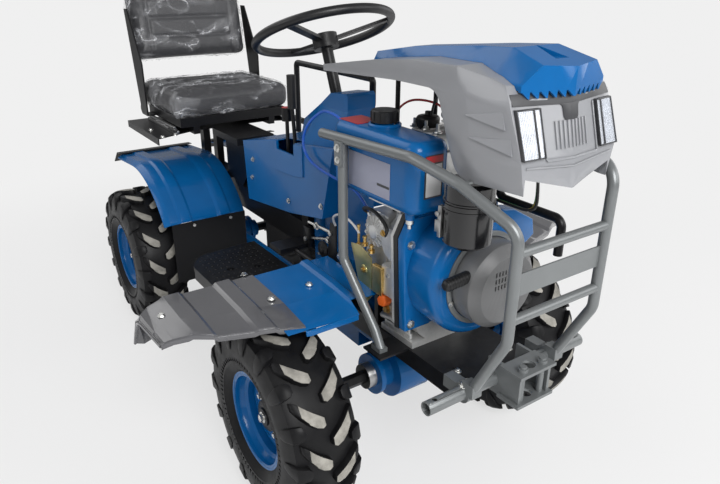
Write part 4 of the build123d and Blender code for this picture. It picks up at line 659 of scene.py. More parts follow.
def softMesh(build, width):
    # A small mesh with rounded edges, to be repeated.
    piece = placed("seed", meshOf(build))
    mesh = softened(piece, width).data
    bpy.data.objects.remove(piece)
    return mesh


def dustTops(piece, centre):
    # Pale dust on the lugs' worn tops only.
    piece.data.materials.append(materials["dustyTread"])
    index = len(piece.data.materials) - 1
    for face in piece.data.polygons:
        away = face.center - Vector(centre)
        outward = Vector((away.x, 0, away.z))
        if outward.length > tractor["tyreRadius"] - 0.0045 and face.normal.dot(outward.normalized()) > 0.9:
            face.material_index = index


def makeTyre(wheelName, place):
    centre = Matrix.Translation(place)
    pitch = 2 * math.pi / tyre["lugCount"]
    casing = newPiece(wheelName + "_casing", meshOf(makeCasing), "rubber")
    casing.data.transform(centre)
    pieces = [casing]
    for side in (1, -1):
        start = Matrix.Rotation(0 if side > 0 else pitch / 2, 4, "Y")
        for label, build, width, offset in (("lugs", makeLug(side), 0.0022, 0.0),
                                            ("stubs", makeStub(side), 0.0016, pitch * 0.36)):
            ring = repeated(wheelName + label, softMesh(build, width), "rubber", tyre["lugCount"],
                            turn=(0, pitch, 0), place=centre @ start @ Matrix.Rotation(offset, 4, "Y"))
            pieces.append(ring)
        pieces.append(repeated(wheelName + "ribs", meshOf(makeSideRib(side)), "rubber", 72,
                               turn=(0, 2 * math.pi / 72, 0), place=centre))
    whole = joined(wheelName + "_tread_tyre", pieces)
    for index, old in reversed(list(enumerate(whole.data.materials))):
        if index and old == whole.data.materials[0]:
            whole.data.materials.pop(index=index)
    dustTops(whole, place)
    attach(whole, wheelName + "_wheel")
    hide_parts(wheelName + "_tyre")
    return whole


# Rims: rolled edge and rings of the pressed disc, wheel nuts, valve and hub cap, over the solid rim.
rim = {
    "nutCount": 4,
    "nutCircle": 0.056,
    "nutRadius": 0.0075,
    "hubRadius": 0.043,
    "valveRadius": 0.112,
}


def makeRimParts(wheelName, place, side):
    out = Matrix.Translation(place) @ Matrix.Rotation(math.radians(-90 * side), 4, "X")

    def buildPan(shape):
        profile = [(0.0, 0.0345), (0.046, 0.0345), (0.050, 0.0385), (0.066, 0.0385), (0.072, 0.034),
                   (0.084, 0.024), (0.092, 0.0225), (0.098, 0.026), (0.104, 0.026), (0.109, 0.020),
                   (0.1105, 0.030), (0.116, 0.046), (0.1245, 0.058), (0.1262, 0.070), (0.131, 0.0765),
                   (0.1362, 0.0775), (0.1372, 0.0745), (0.134, 0.0745), (0.1285, 0.0735), (0.1235, 0.0700),
                   (0.1225, 0.0590), (0.1145, 0.0480), (0.1085, 0.0310), (0.1075, 0.0180), (0.0, 0.0180)]
        addTurned(shape, profile, 72, out)

    def buildHub(shape):
        addTurned(shape, [(0, 0.036), (rim["hubRadius"], 0.036), (rim["hubRadius"], 0.0445), (0.038, 0.048),
                          (0.026, 0.048), (0.0245, 0.0525), (0, 0.0525)], 40, out)

    def buildNuts(shape):
        for index in range(rim["nutCount"]):
            angle = 2 * math.pi * (index + 0.5) / rim["nutCount"]
            spot = out @ Vector((rim["nutCircle"] * math.cos(angle), rim["nutCircle"] * math.sin(angle),
                                 0.038))
            addScrew(shape, spot, (0, side, 0), rim["nutRadius"])
        addScrew(shape, out @ Vector((0, 0, 0.052)), (0, side, 0), 0.0105)

    def buildValve(shape):
        spot = out @ Vector((rim["valveRadius"] * math.cos(1.1), rim["valveRadius"] * math.sin(1.1), 0.030))
        tip = out @ Vector((0.1 * math.cos(1.1), 0.1 * math.sin(1.1), 0.072))
        addTurned(shape, [(0, 0), (0.0062, 0), (0.0055, 0.012), (0.0042, 0.016), (0.0042, 0.036),
                          (0, 0.038)], 14,
                  aimed(spot, tip - spot))

    pan = newPiece(wheelName + "_disc", meshOf(buildPan), "bluePaint")
    hub = newPiece(wheelName + "_hub", meshOf(buildHub), "blackPaint")
    nuts = newPiece(wheelName + "_nuts", meshOf(buildNuts), "zinc")
    valve = newPiece(wheelName + "_valve", meshOf(buildValve), "rubber")
    return joined(wheelName + "_rim_trim", [pan, hub, nuts, valve])


for wheelName in wheelNames:
    front = wheelName.startswith("front")
    side = 1 if wheelName.endswith("left") else -1
    track = tractor["frontTrack"] if front else tractor["rearTrack"]
    place = (tractor["frontAxle"] if front else tractor["rearAxle"], side * track, tractor["axleHeight"])
    makeTyre(wheelName, place)
    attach(makeRimParts(wheelName, place, side), wheelName + "_wheel")
print("wheels made")


# Seat: two cushions swollen by a short cloth simulation, and the clear wrapping over them.
seat = {
    "voxel": 0.007,
    "pressure": 4.0,
    "frames": 20,
    "cap": 0.009,
    "inset": 0.004,
    "wrapOffset": 0.004,
    "wrinkle": 0.007,
    "edgeRound": 0.028,
    "backLean": 10,
    "backSize": (0.092, 0.512, 0.410),
    "backFoot": (-0.925, 0, 1.037),
    # Columns of the seams: axis, place, depth, width, reach along the other axis.
    "seams": [(0, -0.07, 0.006, 0.006, 0.18), (0, 0.075, 0.006, 0.006, 0.18),
              (1, -0.17, 0.007, 0.007, 0.2), (1, 0.17, 0.007, 0.007, 0.2)],
    "backSeams": [(2, -0.11, 0.006, 0.006, 0.18), (2, -0.035, 0.006, 0.006, 0.18),
                  (2, 0.04, 0.006, 0.006, 0.18), (2, 0.115, 0.006, 0.006, 0.18),
                  (1, -0.18, 0.007, 0.007, 0.2), (1, 0.18, 0.007, 0.007, 0.2)],
}


def cushionMesh(size, round_):
    # A closed box with rounded edges, dense enough to bend, about its own middle.
    shape = bmesh.new()
    bmesh.ops.create_cube(shape, size=1.0)
    bmesh.ops.scale(shape, vec=size, verts=shape.verts)
    bmesh.ops.bevel(shape, geom=shape.edges[:], offset=round_, segments=5, affect="EDGES", profile=0.5)
    mesh = bpy.data.meshes.new("pad")
    shape.to_mesh(mesh)
    shape.free()
    return mesh


def swell(piece):
    # Cloth pressure rounds the pad out, up to the cap, as foam does under its cover.
    remesh = piece.modifiers.new("remesh", "REMESH")
    remesh.mode = "VOXEL"
    remesh.voxel_size = seat["voxel"]
    mesh = evaluated(piece)
    piece.modifiers.clear()
    piece.data = mesh
    rest = [vertex.co.copy() for vertex in mesh.vertices]
    cloth = piece.modifiers.new("cloth", "CLOTH")
    cloth.settings.use_pressure = True
    cloth.settings.uniform_pressure_force = seat["pressure"]
    cloth.settings.effector_weights.gravity = 0.0
    scene = bpy.context.scene
    for step in range(1, seat["frames"] + 1):
        scene.frame_set(step)
    swollen = evaluated(piece)
    piece.modifiers.clear()
    scene.frame_set(1)
    for vertex, start in zip(swollen.vertices, rest):
        moved = vertex.co - start
        if moved.length > seat["cap"]:
            vertex.co = start + moved.normalized() * seat["cap"]
    piece.data = swollen


def sewSeams(piece, lines, faceAxis, sign):
    # Sewn channels: lines are places along the other axis where the cover is pulled in.
    for vertex in piece.data.vertices:
        if sign * vertex.co[faceAxis] < 0:
            continue
        pull = 0.0
        for axis, at, depth, width, reach in lines:
            away = abs(vertex.co[axis] - at)
            other = 1 if axis != 1 else (0 if faceAxis == 2 else 2)
            if abs(vertex.co[other]) > reach:
                continue
            pull = max(pull, depth * math.exp(-(away / width) ** 2))
        vertex.co[faceAxis] -= sign * pull
        softness = noise.noise(vertex.co * 9.0) * 0.0025
        vertex.co[faceAxis] += sign * softness


def addWrap(name, piece, body):
    # Clear plastic drawn over the pad, with creases that run at random over it.
    mesh = piece.data.copy()
    wrap = placed(name, mesh)
    mesh.materials.clear()
    mesh.materials.append(materials["clearFilm"])
    normals = [vertex.normal.copy() for vertex in mesh.vertices]
    for vertex, normal in zip(mesh.vertices, normals):
        spot = vertex.co
        broad = noise.noise(spot * 11.0 + Vector((3.1, 0.4, 7.7)))
        crease = 1.0 - min(1.0, abs(noise.noise(spot * 24.0 + Vector((9.0, 2.0, 1.0)) * broad)) * 5.0)
        cross = 1.0 - min(1.0, abs(noise.noise(Vector((spot.x * 18, spot.y * 42, spot.z * 18)))) * 6.0)
        vertex.co = spot + normal * (seat["wrapOffset"] + seat["wrinkle"] * (0.6 * crease + 0.4 * cross))
    for face in mesh.polygons:
        face.use_smooth = True
    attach(wrap, body)
    return wrap


def makePad(name, nodeName, size, place, seams, faceAxis, sign):
    inner = [length - 2 * seat["inset"] for length in size]
    piece = newPiece(name, cushionMesh(inner, seat["edgeRound"]), "seatVinyl")
    swell(piece)
    sewSeams(piece, seams, faceAxis, sign)
    smooth = piece.modifiers.new("smooth", "SUBSURF")
    smooth.levels = 1
    smooth.render_levels = 1
    mesh = evaluated(piece)
    piece.modifiers.clear()
    mesh.transform(place)
    mesh.name = name
    mesh.materials.clear()
    mesh.materials.append(materials["seatVinyl"])
    for face in mesh.polygons:
        face.use_smooth = True
    piece.data = mesh
    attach(piece, "rear_half")
    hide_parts(nodeName)
    return piece


def makeSeat():
    low, high = (Vector(corner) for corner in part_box("seat_cushion"))
    size = high - low
    pad = makePad("seat_pad", "seat_cushion", size, Matrix.Translation((low + high) / 2), seat["seams"], 2,
                  1)
    addWrap("seat_pad_wrap", pad, "rear_half")
    backSize = Vector(seat["backSize"])
    place = (Matrix.Translation(seat["backFoot"]) @ Matrix.Rotation(-math.radians(seat["backLean"]), 4, "Y")
             @ Matrix.Translation((-backSize.x / 2, 0, backSize.z / 2)))
    back = makePad("seat_back_pad", "seat_back", backSize, place, seat["backSeams"], 0, 1)
    addWrap("seat_back_wrap", back, "rear_half")


makeSeat()
print("seat made")


# Small pieces. Their places are in millimetres; at() turns them into metres.

def at(x, y, z):
    return Vector((x, y, z)) * 0.001


def scaled(outline):
    return [(a * 0.001, b * 0.001) for a, b in outline]


def sidePlate(shape, outline, y0, y1):
    # A plate that stands in the X and Z plane, from y0 to y1.
    place = Matrix(((1, 0, 0, 0), (0, 0, 1, 0), (0, 1, 0, 0), (0, 0, 0, 1)))
    addPrism(shape, scaled(outline), y0 * 0.001, y1 * 0.001, place)


def frontPlate(shape, outline, x0, x1):
    # A plate that stands in the Y and Z plane, from x0 to x1.
    place = Matrix(((0, 0, 1, 0), (1, 0, 0, 0), (0, 1, 0, 0), (0, 0, 0, 1)))
    addPrism(shape, scaled(outline), x0 * 0.001, x1 * 0.001, place)


def boxAt(shape, low, high):
    addBox(shape, at(*low), at(*high))


def turnedAt(shape, place, direction, profile, segments=28):
    addTurned(shape, [(radius * 0.001, height * 0.001) for radius, height in profile], segments,
              aimed(at(*place), direction))


def detail(name, build, finishName, body="front_half", round_=0.0, smooth=True):
    piece = newPiece(name, meshOf(build), finishName, smooth)
    if round_:
        softened(piece, round_ * 0.001)
        for face in piece.data.polygons:
            face.use_smooth = True
        piece.data.set_sharp_from_angle(angle=math.radians(50))
    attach(piece, body)
    return piece


def repaint(nodeName, finishName, test):
    # Faces whose middle passes the test, in millimetres, take another finish.
    piece = nodes[nodeName]
    piece.data.materials.append(materials[finishName])
    index = len(piece.data.materials) - 1
    for face in piece.data.polygons:
        if test(piece.matrix_world @ face.center * 1000):
            face.material_index = index


repaint("control_levers", "redGrip", lambda spot: spot.x < 82 and spot.z > 985)
repaint("control_levers", "gripPlastic", lambda spot: spot.x >= 82 and spot.z > 998)
for wheelName, reach in (("front_left", 335), ("front_right", 335), ("rear_left", 300),
                         ("rear_right", 300)):
    repaint(wheelName + "_rim", "blackPaint", lambda spot: abs(spot.y) < reach and abs(spot.z - 280) < 45)
repaint("front_axle_case", "blackPaint", lambda spot: abs(spot.y) > 128)
repaint("front_axle_case", "steel", lambda spot: 108 < abs(spot.y) <= 128)
repaint("rear_axle_case", "blackPaint", lambda spot: abs(spot.y) > 150)


# Outer front fenders: the sheet's end is fuller and hangs less than the solid one's,
# and its front edge turns down.
fenderEnd = {
    "crest": 348.0,
    "reach": 200.0,
    # Columns: distance from the middle plane, share of the reach, rise, further rise at the front edge.
    "stations": [(0, 1.0, 0, 0), (520, 1.0, 0, 0), (642, 1.035, 1, 2), (674.2, 1.09, -3, 8),
                 (693.6, 1.25, 5, 24), (700.1, 1.48, 54, 40)],
    # Columns: share of the outer sheet's width, its pull at the front as a share of the width, rise in beads.
    "front": [(0, 0.05, 0), (0.19, 0.11, 0), (0.22, 0.12, 1), (0.34, 0.15, 1), (0.37, 0.17, 0),
              (0.63, 0.25, 0), (0.66, 0.26, 1), (0.79, 0.33, 1), (0.82, 0.35, 0), (0.92, 0.42, -1),
              (0.98, 0.5, -4.5), (1, 0.58, -14)],
    "line": [(268, 452), (312, 570), (348, 600), (540, 593), (655, 576)],
    "lap": 3.8,
    "frontX": 655,
    "innerY": 378,
    "width": 322,
    "tipY": 699.0,
    "rimDrop": 98,
    "bead": 7.0,
    "lipDepth": 15.0,
    "lipThickness": 2.4,
}


def between(stations, place):
    for (before, *first), (after, *second) in zip(stations, stations[1:]):
        if place <= after:
            share = (place - before) / (after - before)
            return [one + (two - one) * share for one, two in zip(first, second)]
    return stations[-1][1:]


def fenderMove(spot):
    # The new place of a point of the outer sheet, in millimetres.
    reach, rise, frontRise = between(fenderEnd["stations"], abs(spot.y))
    crest = fenderEnd["crest"]
    share = min(1.0, max(0.0, (spot.x - crest) / fenderEnd["reach"]))
    x = crest + (spot.x - crest) * reach if spot.x > crest else spot.x
    rise += max(0.0, abs(spot.y) - 674) / 26 * 0.32 * max(0.0, 520 - spot.z)
    return Vector((x, spot.y, spot.z + rise + frontRise * share))


def makeLip(name, line, finishName):
    # The turned-down front edge along a line of points.
    depth, thick = fenderEnd["lipDepth"], fenderEnd["lipThickness"]

    def build(shape):
        rungs = []
        for spot in line:
            top = spot.z + 0.8
            rungs.append([at(spot.x - 1.5, spot.y, top), at(spot.x + thick, spot.y, top - 2),
                          at(spot.x + thick + 1.5, spot.y, top - depth),
                          at(spot.x - 0.5, spot.y, top - depth)])
        addLoft(shape, rungs)

    detail(name, build, finishName, round_=0.8)


def makeFenderEnds():
    source = nodes["front_fenders_outer"]
    shape = bmesh.new()
    shape.from_mesh(source.data)
    shape.transform(source.matrix_world)
    bmesh.ops.remove_doubles(shape, verts=shape.verts, dist=0.00002)
    for vertex in shape.verts:
        vertex.co = fenderMove(vertex.co * 1000) * 0.001
    # The dark pieces under the ends are the parts that reach inward the least.
    seen = set()
    for start in shape.faces:
        if start in seen:
            continue
        island, edge = [], [start]
        seen.add(start)
        while edge:
            face = edge.pop()
            island.append(face)
            for border in face.edges:
                for other in border.link_faces:
                    if other not in seen:
                        seen.add(other)
                        edge.append(other)
        inward = min(abs(vertex.co.y) for face in island for vertex in face.verts)
        for face in island:
            face.material_index = 1 if inward > 0.6 else 0
    mesh = bpy.data.meshes.new("front_fender_ends")
    shape.to_mesh(mesh)
    shape.free()
    piece = placed("front_fender_ends", mesh)
    mesh.materials.append(materials["fenderGrey"])
    mesh.materials.append(materials["glossBlack"])
    softened(piece, 0.0012)
    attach(piece, "front_half")
    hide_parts("front_fenders_outer")
    line = fenderEnd["line"]
    for side, label in ((-1, "right"), (1, "left")):
        spots = []
        for share, pull, rise in fenderEnd["front"]:
            x = fenderEnd["frontX"] - fenderEnd["width"] * pull
            z = between(line, x)[0] + fenderEnd["bead"] * rise + fenderEnd["lap"]
            y = side * (fenderEnd["innerY"] + fenderEnd["width"] * share)
            spots.append(fenderMove(Vector((x, y, z))))
        makeLip("fender_end_lip_" + label, spots, "fenderGrey")
        drop = fenderEnd["rimDrop"]
        rimLine = list(line[:3]) + [(x, between(line, x)[0]) for x in (400, 440, 467)]
        end = [fenderMove(Vector((x, side * fenderEnd["tipY"], z - drop + fenderEnd["lap"]))) for x,
               z in rimLine]
        wire("fender_rim_" + label, [spot * 0.001 for spot in end], 0.0042, "fenderGrey")
        makeLip("fender_lip_" + label, [Vector((x, side * y, 576 if x > 650 else between(line, x)[0]))
                                        for x, y in ((655.4, 232), (655.4, 330), (655.4, 372), (652, 384))],
                                        "bluePaint")


makeFenderEnds()


# Tank: blank plates, ring under the cap, drain neck.
def makeTankTrim():
    def buildPlate(shape):
        sidePlate(shape, [(552, 980), (720, 980), (720, 893), (552, 893)], -191.2, -190.2)

    def buildStripe(shape):
        sidePlate(shape, [(672, 925), (719, 925), (719, 919), (672, 919)], -191.8, -191.3)

    def buildRed(shape):
        boxAt(shape, (482, -172, 1040.2), (562, -104, 1041.4))
        frontPlate(shape, [(-156, 995), (-108, 995), (-108, 1010), (-156, 1010)], 803.0, 804.0)

    def buildBorder(shape):
        frontPlate(shape, [(-158, 913), (-106, 913), (-106, 1012), (-158, 1012)], 802.2, 802.9)

    def buildField(shape):
        frontPlate(shape, [(-154, 917), (-110, 917), (-110, 991), (-154, 991)], 803.0, 803.8)

    def buildRing(shape):
        turnedAt(shape, (606, -122, 1040.2), (0, 0, 1),
                 [(41, 0), (41, 4), (38, 7), (34.5, 7), (34.5, 0), (41, 0)], 40)

    def buildNeck(shape):
        turnedAt(shape, (760, -160, 869.5), (0, 0, -1), [(0, 0), (13, 0), (11, 16), (0, 16)])

    def buildCollar(shape):
        turnedAt(shape, (760, -160, 853), (0, 0, -1), [(0, 0), (10, 0), (10, 9), (5, 10), (5, 22), (0, 22)])

    detail("tank_plate", buildPlate, "plateGrey", round_=0.4)
    detail("tank_stripe", buildStripe, "trimDark")
    detail("tank_labels", buildRed, "plateRed")
    detail("tank_label_border", buildBorder, "trimDark")
    detail("tank_label_field", buildField, "plateWhite")
    detail("tank_ring", buildRing, "bluePaint")
    detail("tank_neck", buildNeck, "bluePaint")
    detail("tank_collar", buildCollar, "zinc")


makeTankTrim()


# Engine: side casting with a ribbed cover, levers' plate, fittings, edge of the housing, valve cover.
engineTrim = {
    "coverPlace": (572, -112, 752),
    "ribCount": 18,
}


def makeEngineTrim():
    def buildCasting(shape):
        sidePlate(shape, [(505, 600), (520, 560), (603, 560), (603, 800), (530, 800), (508, 770)], -104,
                  -12)

    def buildFoot(shape):
        boxAt(shape, (612, -113, 492.5), (722, -104.5, 508))
        for x in (618, 644, 676, 708):
            boxAt(shape, (x, -111, 507), (x + 7, -104.5, 560))
        turnedAt(shape, (628, -104, 545), (0, -1, 0), [(0, 0), (17, 0), (17, 10), (13, 14), (0, 14)])
        turnedAt(shape, (694, -104, 600), (0, -1, 0), [(0, 0), (14, 0), (14, 12), (10, 15), (0, 15)])
        boxAt(shape, (604.5, -112, 566), (722, -104.5, 574))
        for place, radius, depth in (((660, -104, 640), 15, 24), ((684, -104, 690), 12, 30),
                                     ((640, -104, 700), 10, 20), ((676, -104, 560), 11, 26),
                                     ((612, -104, 610), 9, 16)):
            turnedAt(shape, place, (0, -1, 0),
                     [(0, 0), (radius, 0), (radius, depth * 0.6), (radius * 0.7, depth),
                                                (0, depth)], 26)
        turnedAt(shape, (604, -114, 516), (1, -0.1, 0.3),
                 [(0, 0), (9, 0), (9, 56), (12, 58), (12, 74), (0, 76)], 24)
        turnedAt(shape, (690, -112, 640), (0, 0, 1), [(0, 0), (7, 0), (7, 96), (0, 98)], 20)

    def buildCover(shape):
        turnedAt(shape, engineTrim["coverPlace"], (0, -1, 0),
                 [(0, -10), (46, -10), (46, 2), (43, 8), (36, 12), (20, 15), (18, 18), (0, 18)], 48)

    def buildRib(shape):
        addLoft(shape, [[at(-1.3, y, top - 3), at(1.3, y, top - 3), at(0.9, y, top), at(-0.9, y, top)]
                        for y, top in ((20, 8.5), (36, 5.0), (43, 1.2))])

    def buildPlate(shape):
        sidePlate(shape, [(480, 692), (524, 700), (578, 680), (580, 566), (556, 537), (533, 540),
                          (500, 640)], -136, -133)
        turnedAt(shape, (545, -136, 634), (0, -1, 0), [(0, 0), (15, 0), (13, 3), (0, 3)])
        boxAt(shape, (520, -134, 600), (590, -104, 606))

    def buildBracket(shape):
        boxAt(shape, (590, -142, 590), (632, -130, 670))
        boxAt(shape, (632, -131, 596), (657, -127, 668))
        boxAt(shape, (606, -130, 640), (650, -104, 648))

    def buildOrange(shape):
        matrix = aimed(at(630, -118, 574), (0.15, -1, 0.2))
        addPrism(shape, [(x * 0.001, y * 0.001) for x, y in hexOutline(17)], 0, 0.026, matrix)

    def buildBrass(shape):
        for x, low, high, radius in ((507, 690, 752, 3.6), (536, 700, 728, 4.6), (566, 690, 712, 5)):
            turnedAt(shape, (x, -128, low), (0, 0, 1),
                     [(0, 0), (radius * 2, 0), (radius * 2, 8), (radius, 9),
                                                        (radius, high - low - 6),
                                                        (radius * 1.4, high - low - 5),
                                                        (radius * 1.4, high - low), (0, high - low)], 16)
        addScrew(shape, at(545, -139, 634), (0, -1, 0), 0.007)
        addScrew(shape, at(548, -136, 580), (0, -1, 0), 0.006)
        addScrew(shape, at(628, -118, 545), (0, -1, 0), 0.009)
        addScrew(shape, at(640, -146, 775), (0, -1, 0), 0.006)

    def buildZinc(shape):
        addScrew(shape, at(648, -131, 655), (0, -1, 0), 0.0065)
        addScrew(shape, at(493, -104, 668), (0, -1, 0), 0.006)
        for x, z in ((524, 784), (596, 786), (596, 716), (512, 728)):
            addScrew(shape, at(x, -104, z), (0, -1, 0), 0.005)
        for y, z in ((-156, 788), (-148, 572)):
            addScrew(shape, at(763.2, y, z), (1, 0, 0), 0.0075)
        for angle in (20, 95, 200, 275, 335):
            y, z = -10 + 113 * math.cos(math.radians(angle)), 705 + 113 * math.sin(math.radians(angle))
            addScrew(shape, at(867.5, y, z), (1, 0, 0), 0.005)

    def buildHousing(shape):
        frontPlate(shape, [(-162, 556), (-84, 556), (-84, 850), (-150, 850), (-174, 800)], 706, 722)
        boxAt(shape, (690, -118, 560), (706, -84, 850))

    def buildGasket(shape):
        frontPlate(shape, [(-166, 552), (-84, 552), (-84, 854), (-152, 854), (-178, 802)], 722, 737.5)

    def buildFlange(shape):
        frontPlate(shape, [(-165, 554), (-84, 554), (-84, 853), (-151, 853), (-177, 802)], 737.5, 763)
        frontPlate(shape, [(30, 850), (100, 832), (160, 822), (235, 780), (245, 735), (190, 700),
                           (100, 700)], 744, 792)

    def buildGrip(shape):
        turnedAt(shape, (896, -168, 738), (0.05, 1, 0.12),
                 [(0, 0), (9, 0), (13, 5), (14, 50), (13, 103), (9, 108), (0, 108)], 24)
        for index in range(12):
            turnedAt(shape, (896 + 0.4 * index, -160 + 8 * index, 739 + 0.95 * index), (0.05, 1, 0.12),
                     [(0, 0), (14.6, 0.6), (15.2, 2.2), (14.6, 3.8), (0, 4.4)], 20)
        turnedAt(shape, (900, -104, 738), (0.1, 0.62, -0.75), [(0, 0), (10, 0), (7, 22), (7, 34), (0, 34)],
                 16)

    def buildRopeHole(shape):
        turnedAt(shape, (907, -80, 705), (1, -0.25, 0), [(6, 0), (13, 0), (13, 6), (10, 8), (6, 4), (6, 0)],
                 28)

    def buildRecoilRim(shape):
        turnedAt(shape, (862.5, -10, 705), (1, 0, 0),
                 [(107, 0), (119, 0), (119, 3), (115, 5), (107, 5), (107, 0)], 64)

    def buildValveCover(shape):
        boxAt(shape, (626, -56, 985.5), (722, 58, 1030))
        for x in (640, 674, 708):
            boxAt(shape, (x - 3, -60, 985.5), (x + 3, 62, 1034))

    def buildCaps(shape):
        turnedAt(shape, (648, -22, 1030), (0, 0, 1),
                 [(0, 0), (27, 0), (29, 8), (29, 24), (25, 29), (8, 31), (8, 40), (0, 40)], 32)
        turnedAt(shape, (700, 20, 1034), (0, 0, 1), [(0, 0), (14, 0), (14, 14), (0, 16)])

    def buildStuds(shape):
        for x, y in ((632, -50), (716, -50), (632, 50), (716, 50), (674, -50)):
            addScrew(shape, at(x, y, 1033), (0, 0, 1), 0.0075)
            turnedAt(shape, (x, y, 1040), (0, 0, 1), [(0, 0), (4, 0), (4, 14), (0, 15)], 12)

    def buildLatch(shape):
        boxAt(shape, (866, -172, 850), (876, -160, 922))
        boxAt(shape, (862, -176, 862), (880, -170, 890))
        turnedAt(shape, (871, -176, 905), (0, -1, 0), [(0, 0), (6, 0), (6, 4), (0, 5)], 16)

    def buildClamp(shape):
        turnedAt(shape, (902, -116, 916), (0, 0, 1), [(54.5, 0), (58, 1), (58, 5), (54.5, 6), (54.5, 0)],
                 56)
        turnedAt(shape, (902, -116, 933), (0, 0, 1),
                 [(54.2, 0), (56.5, 1), (56.5, 4), (54.2, 5), (54.2, 0)], 56)

    detail("engine_side", buildCasting, "bareCasting", round_=5)
    detail("engine_foot", buildFoot, "bareCasting", round_=1.6)
    detail("engine_cover", buildCover, "bareCasting", round_=1.0)
    ribs = repeated("engine_cover_ribs", meshOf(buildRib), "bareCasting", engineTrim["ribCount"],
                    turn=(0, 0, 2 * math.pi / engineTrim["ribCount"]),
                    place=aimed(at(engineTrim["coverPlace"][0], engineTrim["coverPlace"][1] - 10,
                                   engineTrim["coverPlace"][2]),
                                (0, -1, 0)))
    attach(ribs, "front_half")
    detail("lever_plate", buildPlate, "olivePlate", round_=0.8)
    detail("engine_bracket", buildBracket, "brass", round_=0.8)
    detail("orange_plug", buildOrange, "orangeCap", round_=2.4)
    detail("engine_brass", buildBrass, "brass")
    detail("engine_screws", buildZinc, "zinc")
    detail("housing_edge", buildHousing, "bareCasting", round_=1.5)
    detail("housing_gasket", buildGasket, "wireBlack")
    detail("housing_flange", buildFlange, "bluePaint", round_=3)
    detail("recoil_grip", buildGrip, "gripPlastic", round_=0.5)
    detail("rope_hole", buildRopeHole, "steel")
    detail("recoil_rim", buildRecoilRim, "greyPaint")
    detail("valve_cover", buildValveCover, "bareCasting", round_=4)
    detail("valve_caps", buildCaps, "gripPlastic", round_=1.2)
    detail("valve_studs", buildStuds, "zinc")
    detail("cleaner_latch", buildLatch, "steel", round_=1.0)
    detail("cleaner_clamps", buildClamp, "glossBlack")


makeEngineTrim()


def makeRecoilHousing():
    # The housing without its handle and with the opening closed: the handle sits on the other side.
    source = nodes["recoil_starter"]
    mesh = source.data.copy()
    mesh.transform(source.matrix_world)
    shape = bmesh.new()
    shape.from_mesh(mesh)
    bmesh.ops.remove_doubles(shape, verts=shape.verts, dist=0.00002)
    far = [face for face in shape.faces if face.calc_center_median().y > 0.0955]
    bmesh.ops.delete(shape, geom=far, context="FACES")
    bmesh.ops.holes_fill(shape, edges=[edge for edge in shape.edges if edge.is_boundary], sides=0)
    bmesh.ops.recalc_face_normals(shape, faces=shape.faces)
    shape.to_mesh(mesh)
    shape.free()
    piece = newPiece("recoil_housing", mesh, "recoilGrey")
    softened(piece, 0.001)
    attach(piece, "front_half")
    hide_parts("recoil_starter")


makeRecoilHousing()


# Hood: dark band under the brow with its tab, lamp frames and flutes, steps on the cheeks.
hoodTrim = {
    # Columns: height, side X, half width, corner X, corner half width, nose X.
    "levels": [(984, 946, 152, 1053, 126, 1068), (1050, 937, 160, 1052, 140, 1060),
               (1160, 914, 163, 1013, 146, 1034), (1212, 884, 158, 976, 132, 1012)],
    "bandLow": 1148,
    "bandHigh": 1172,
    "tabLow": 1118,
}


def hoodLevel(z):
    return between(hoodTrim["levels"], z)


def hoodFront(y, z, lift):
    # A point of the hood's front face, lifted off it.
    cornerX, cornerHalf, noseX = hoodLevel(z)[2:]
    share = min(1.0, abs(y) / cornerHalf)
    x = noseX + (cornerX - noseX) * share
    return at(x + lift, y, z)


def hoodCheek(side, x, z, lift):
    sideX, half, cornerX, cornerHalf = hoodLevel(z)[:4]
    share = (x - sideX) / (cornerX - sideX)
    return at(x + lift * 0.2, side * (half + (cornerHalf - half) * share + lift), z)


def frontPatch(shape, corners, lift, thickness):
    # A plate on the front face through corners of Y and Z.
    near = [shape.verts.new(hoodFront(y, z, lift)) for y, z in corners]
    far = [shape.verts.new(hoodFront(y, z, lift + thickness)) for y, z in corners]
    shape.faces.new(near)
    shape.faces.new(far[::-1])
    for index in range(len(corners)):
        after = (index + 1) % len(corners)
        shape.faces.new((near[index], near[after], far[after], far[index]))


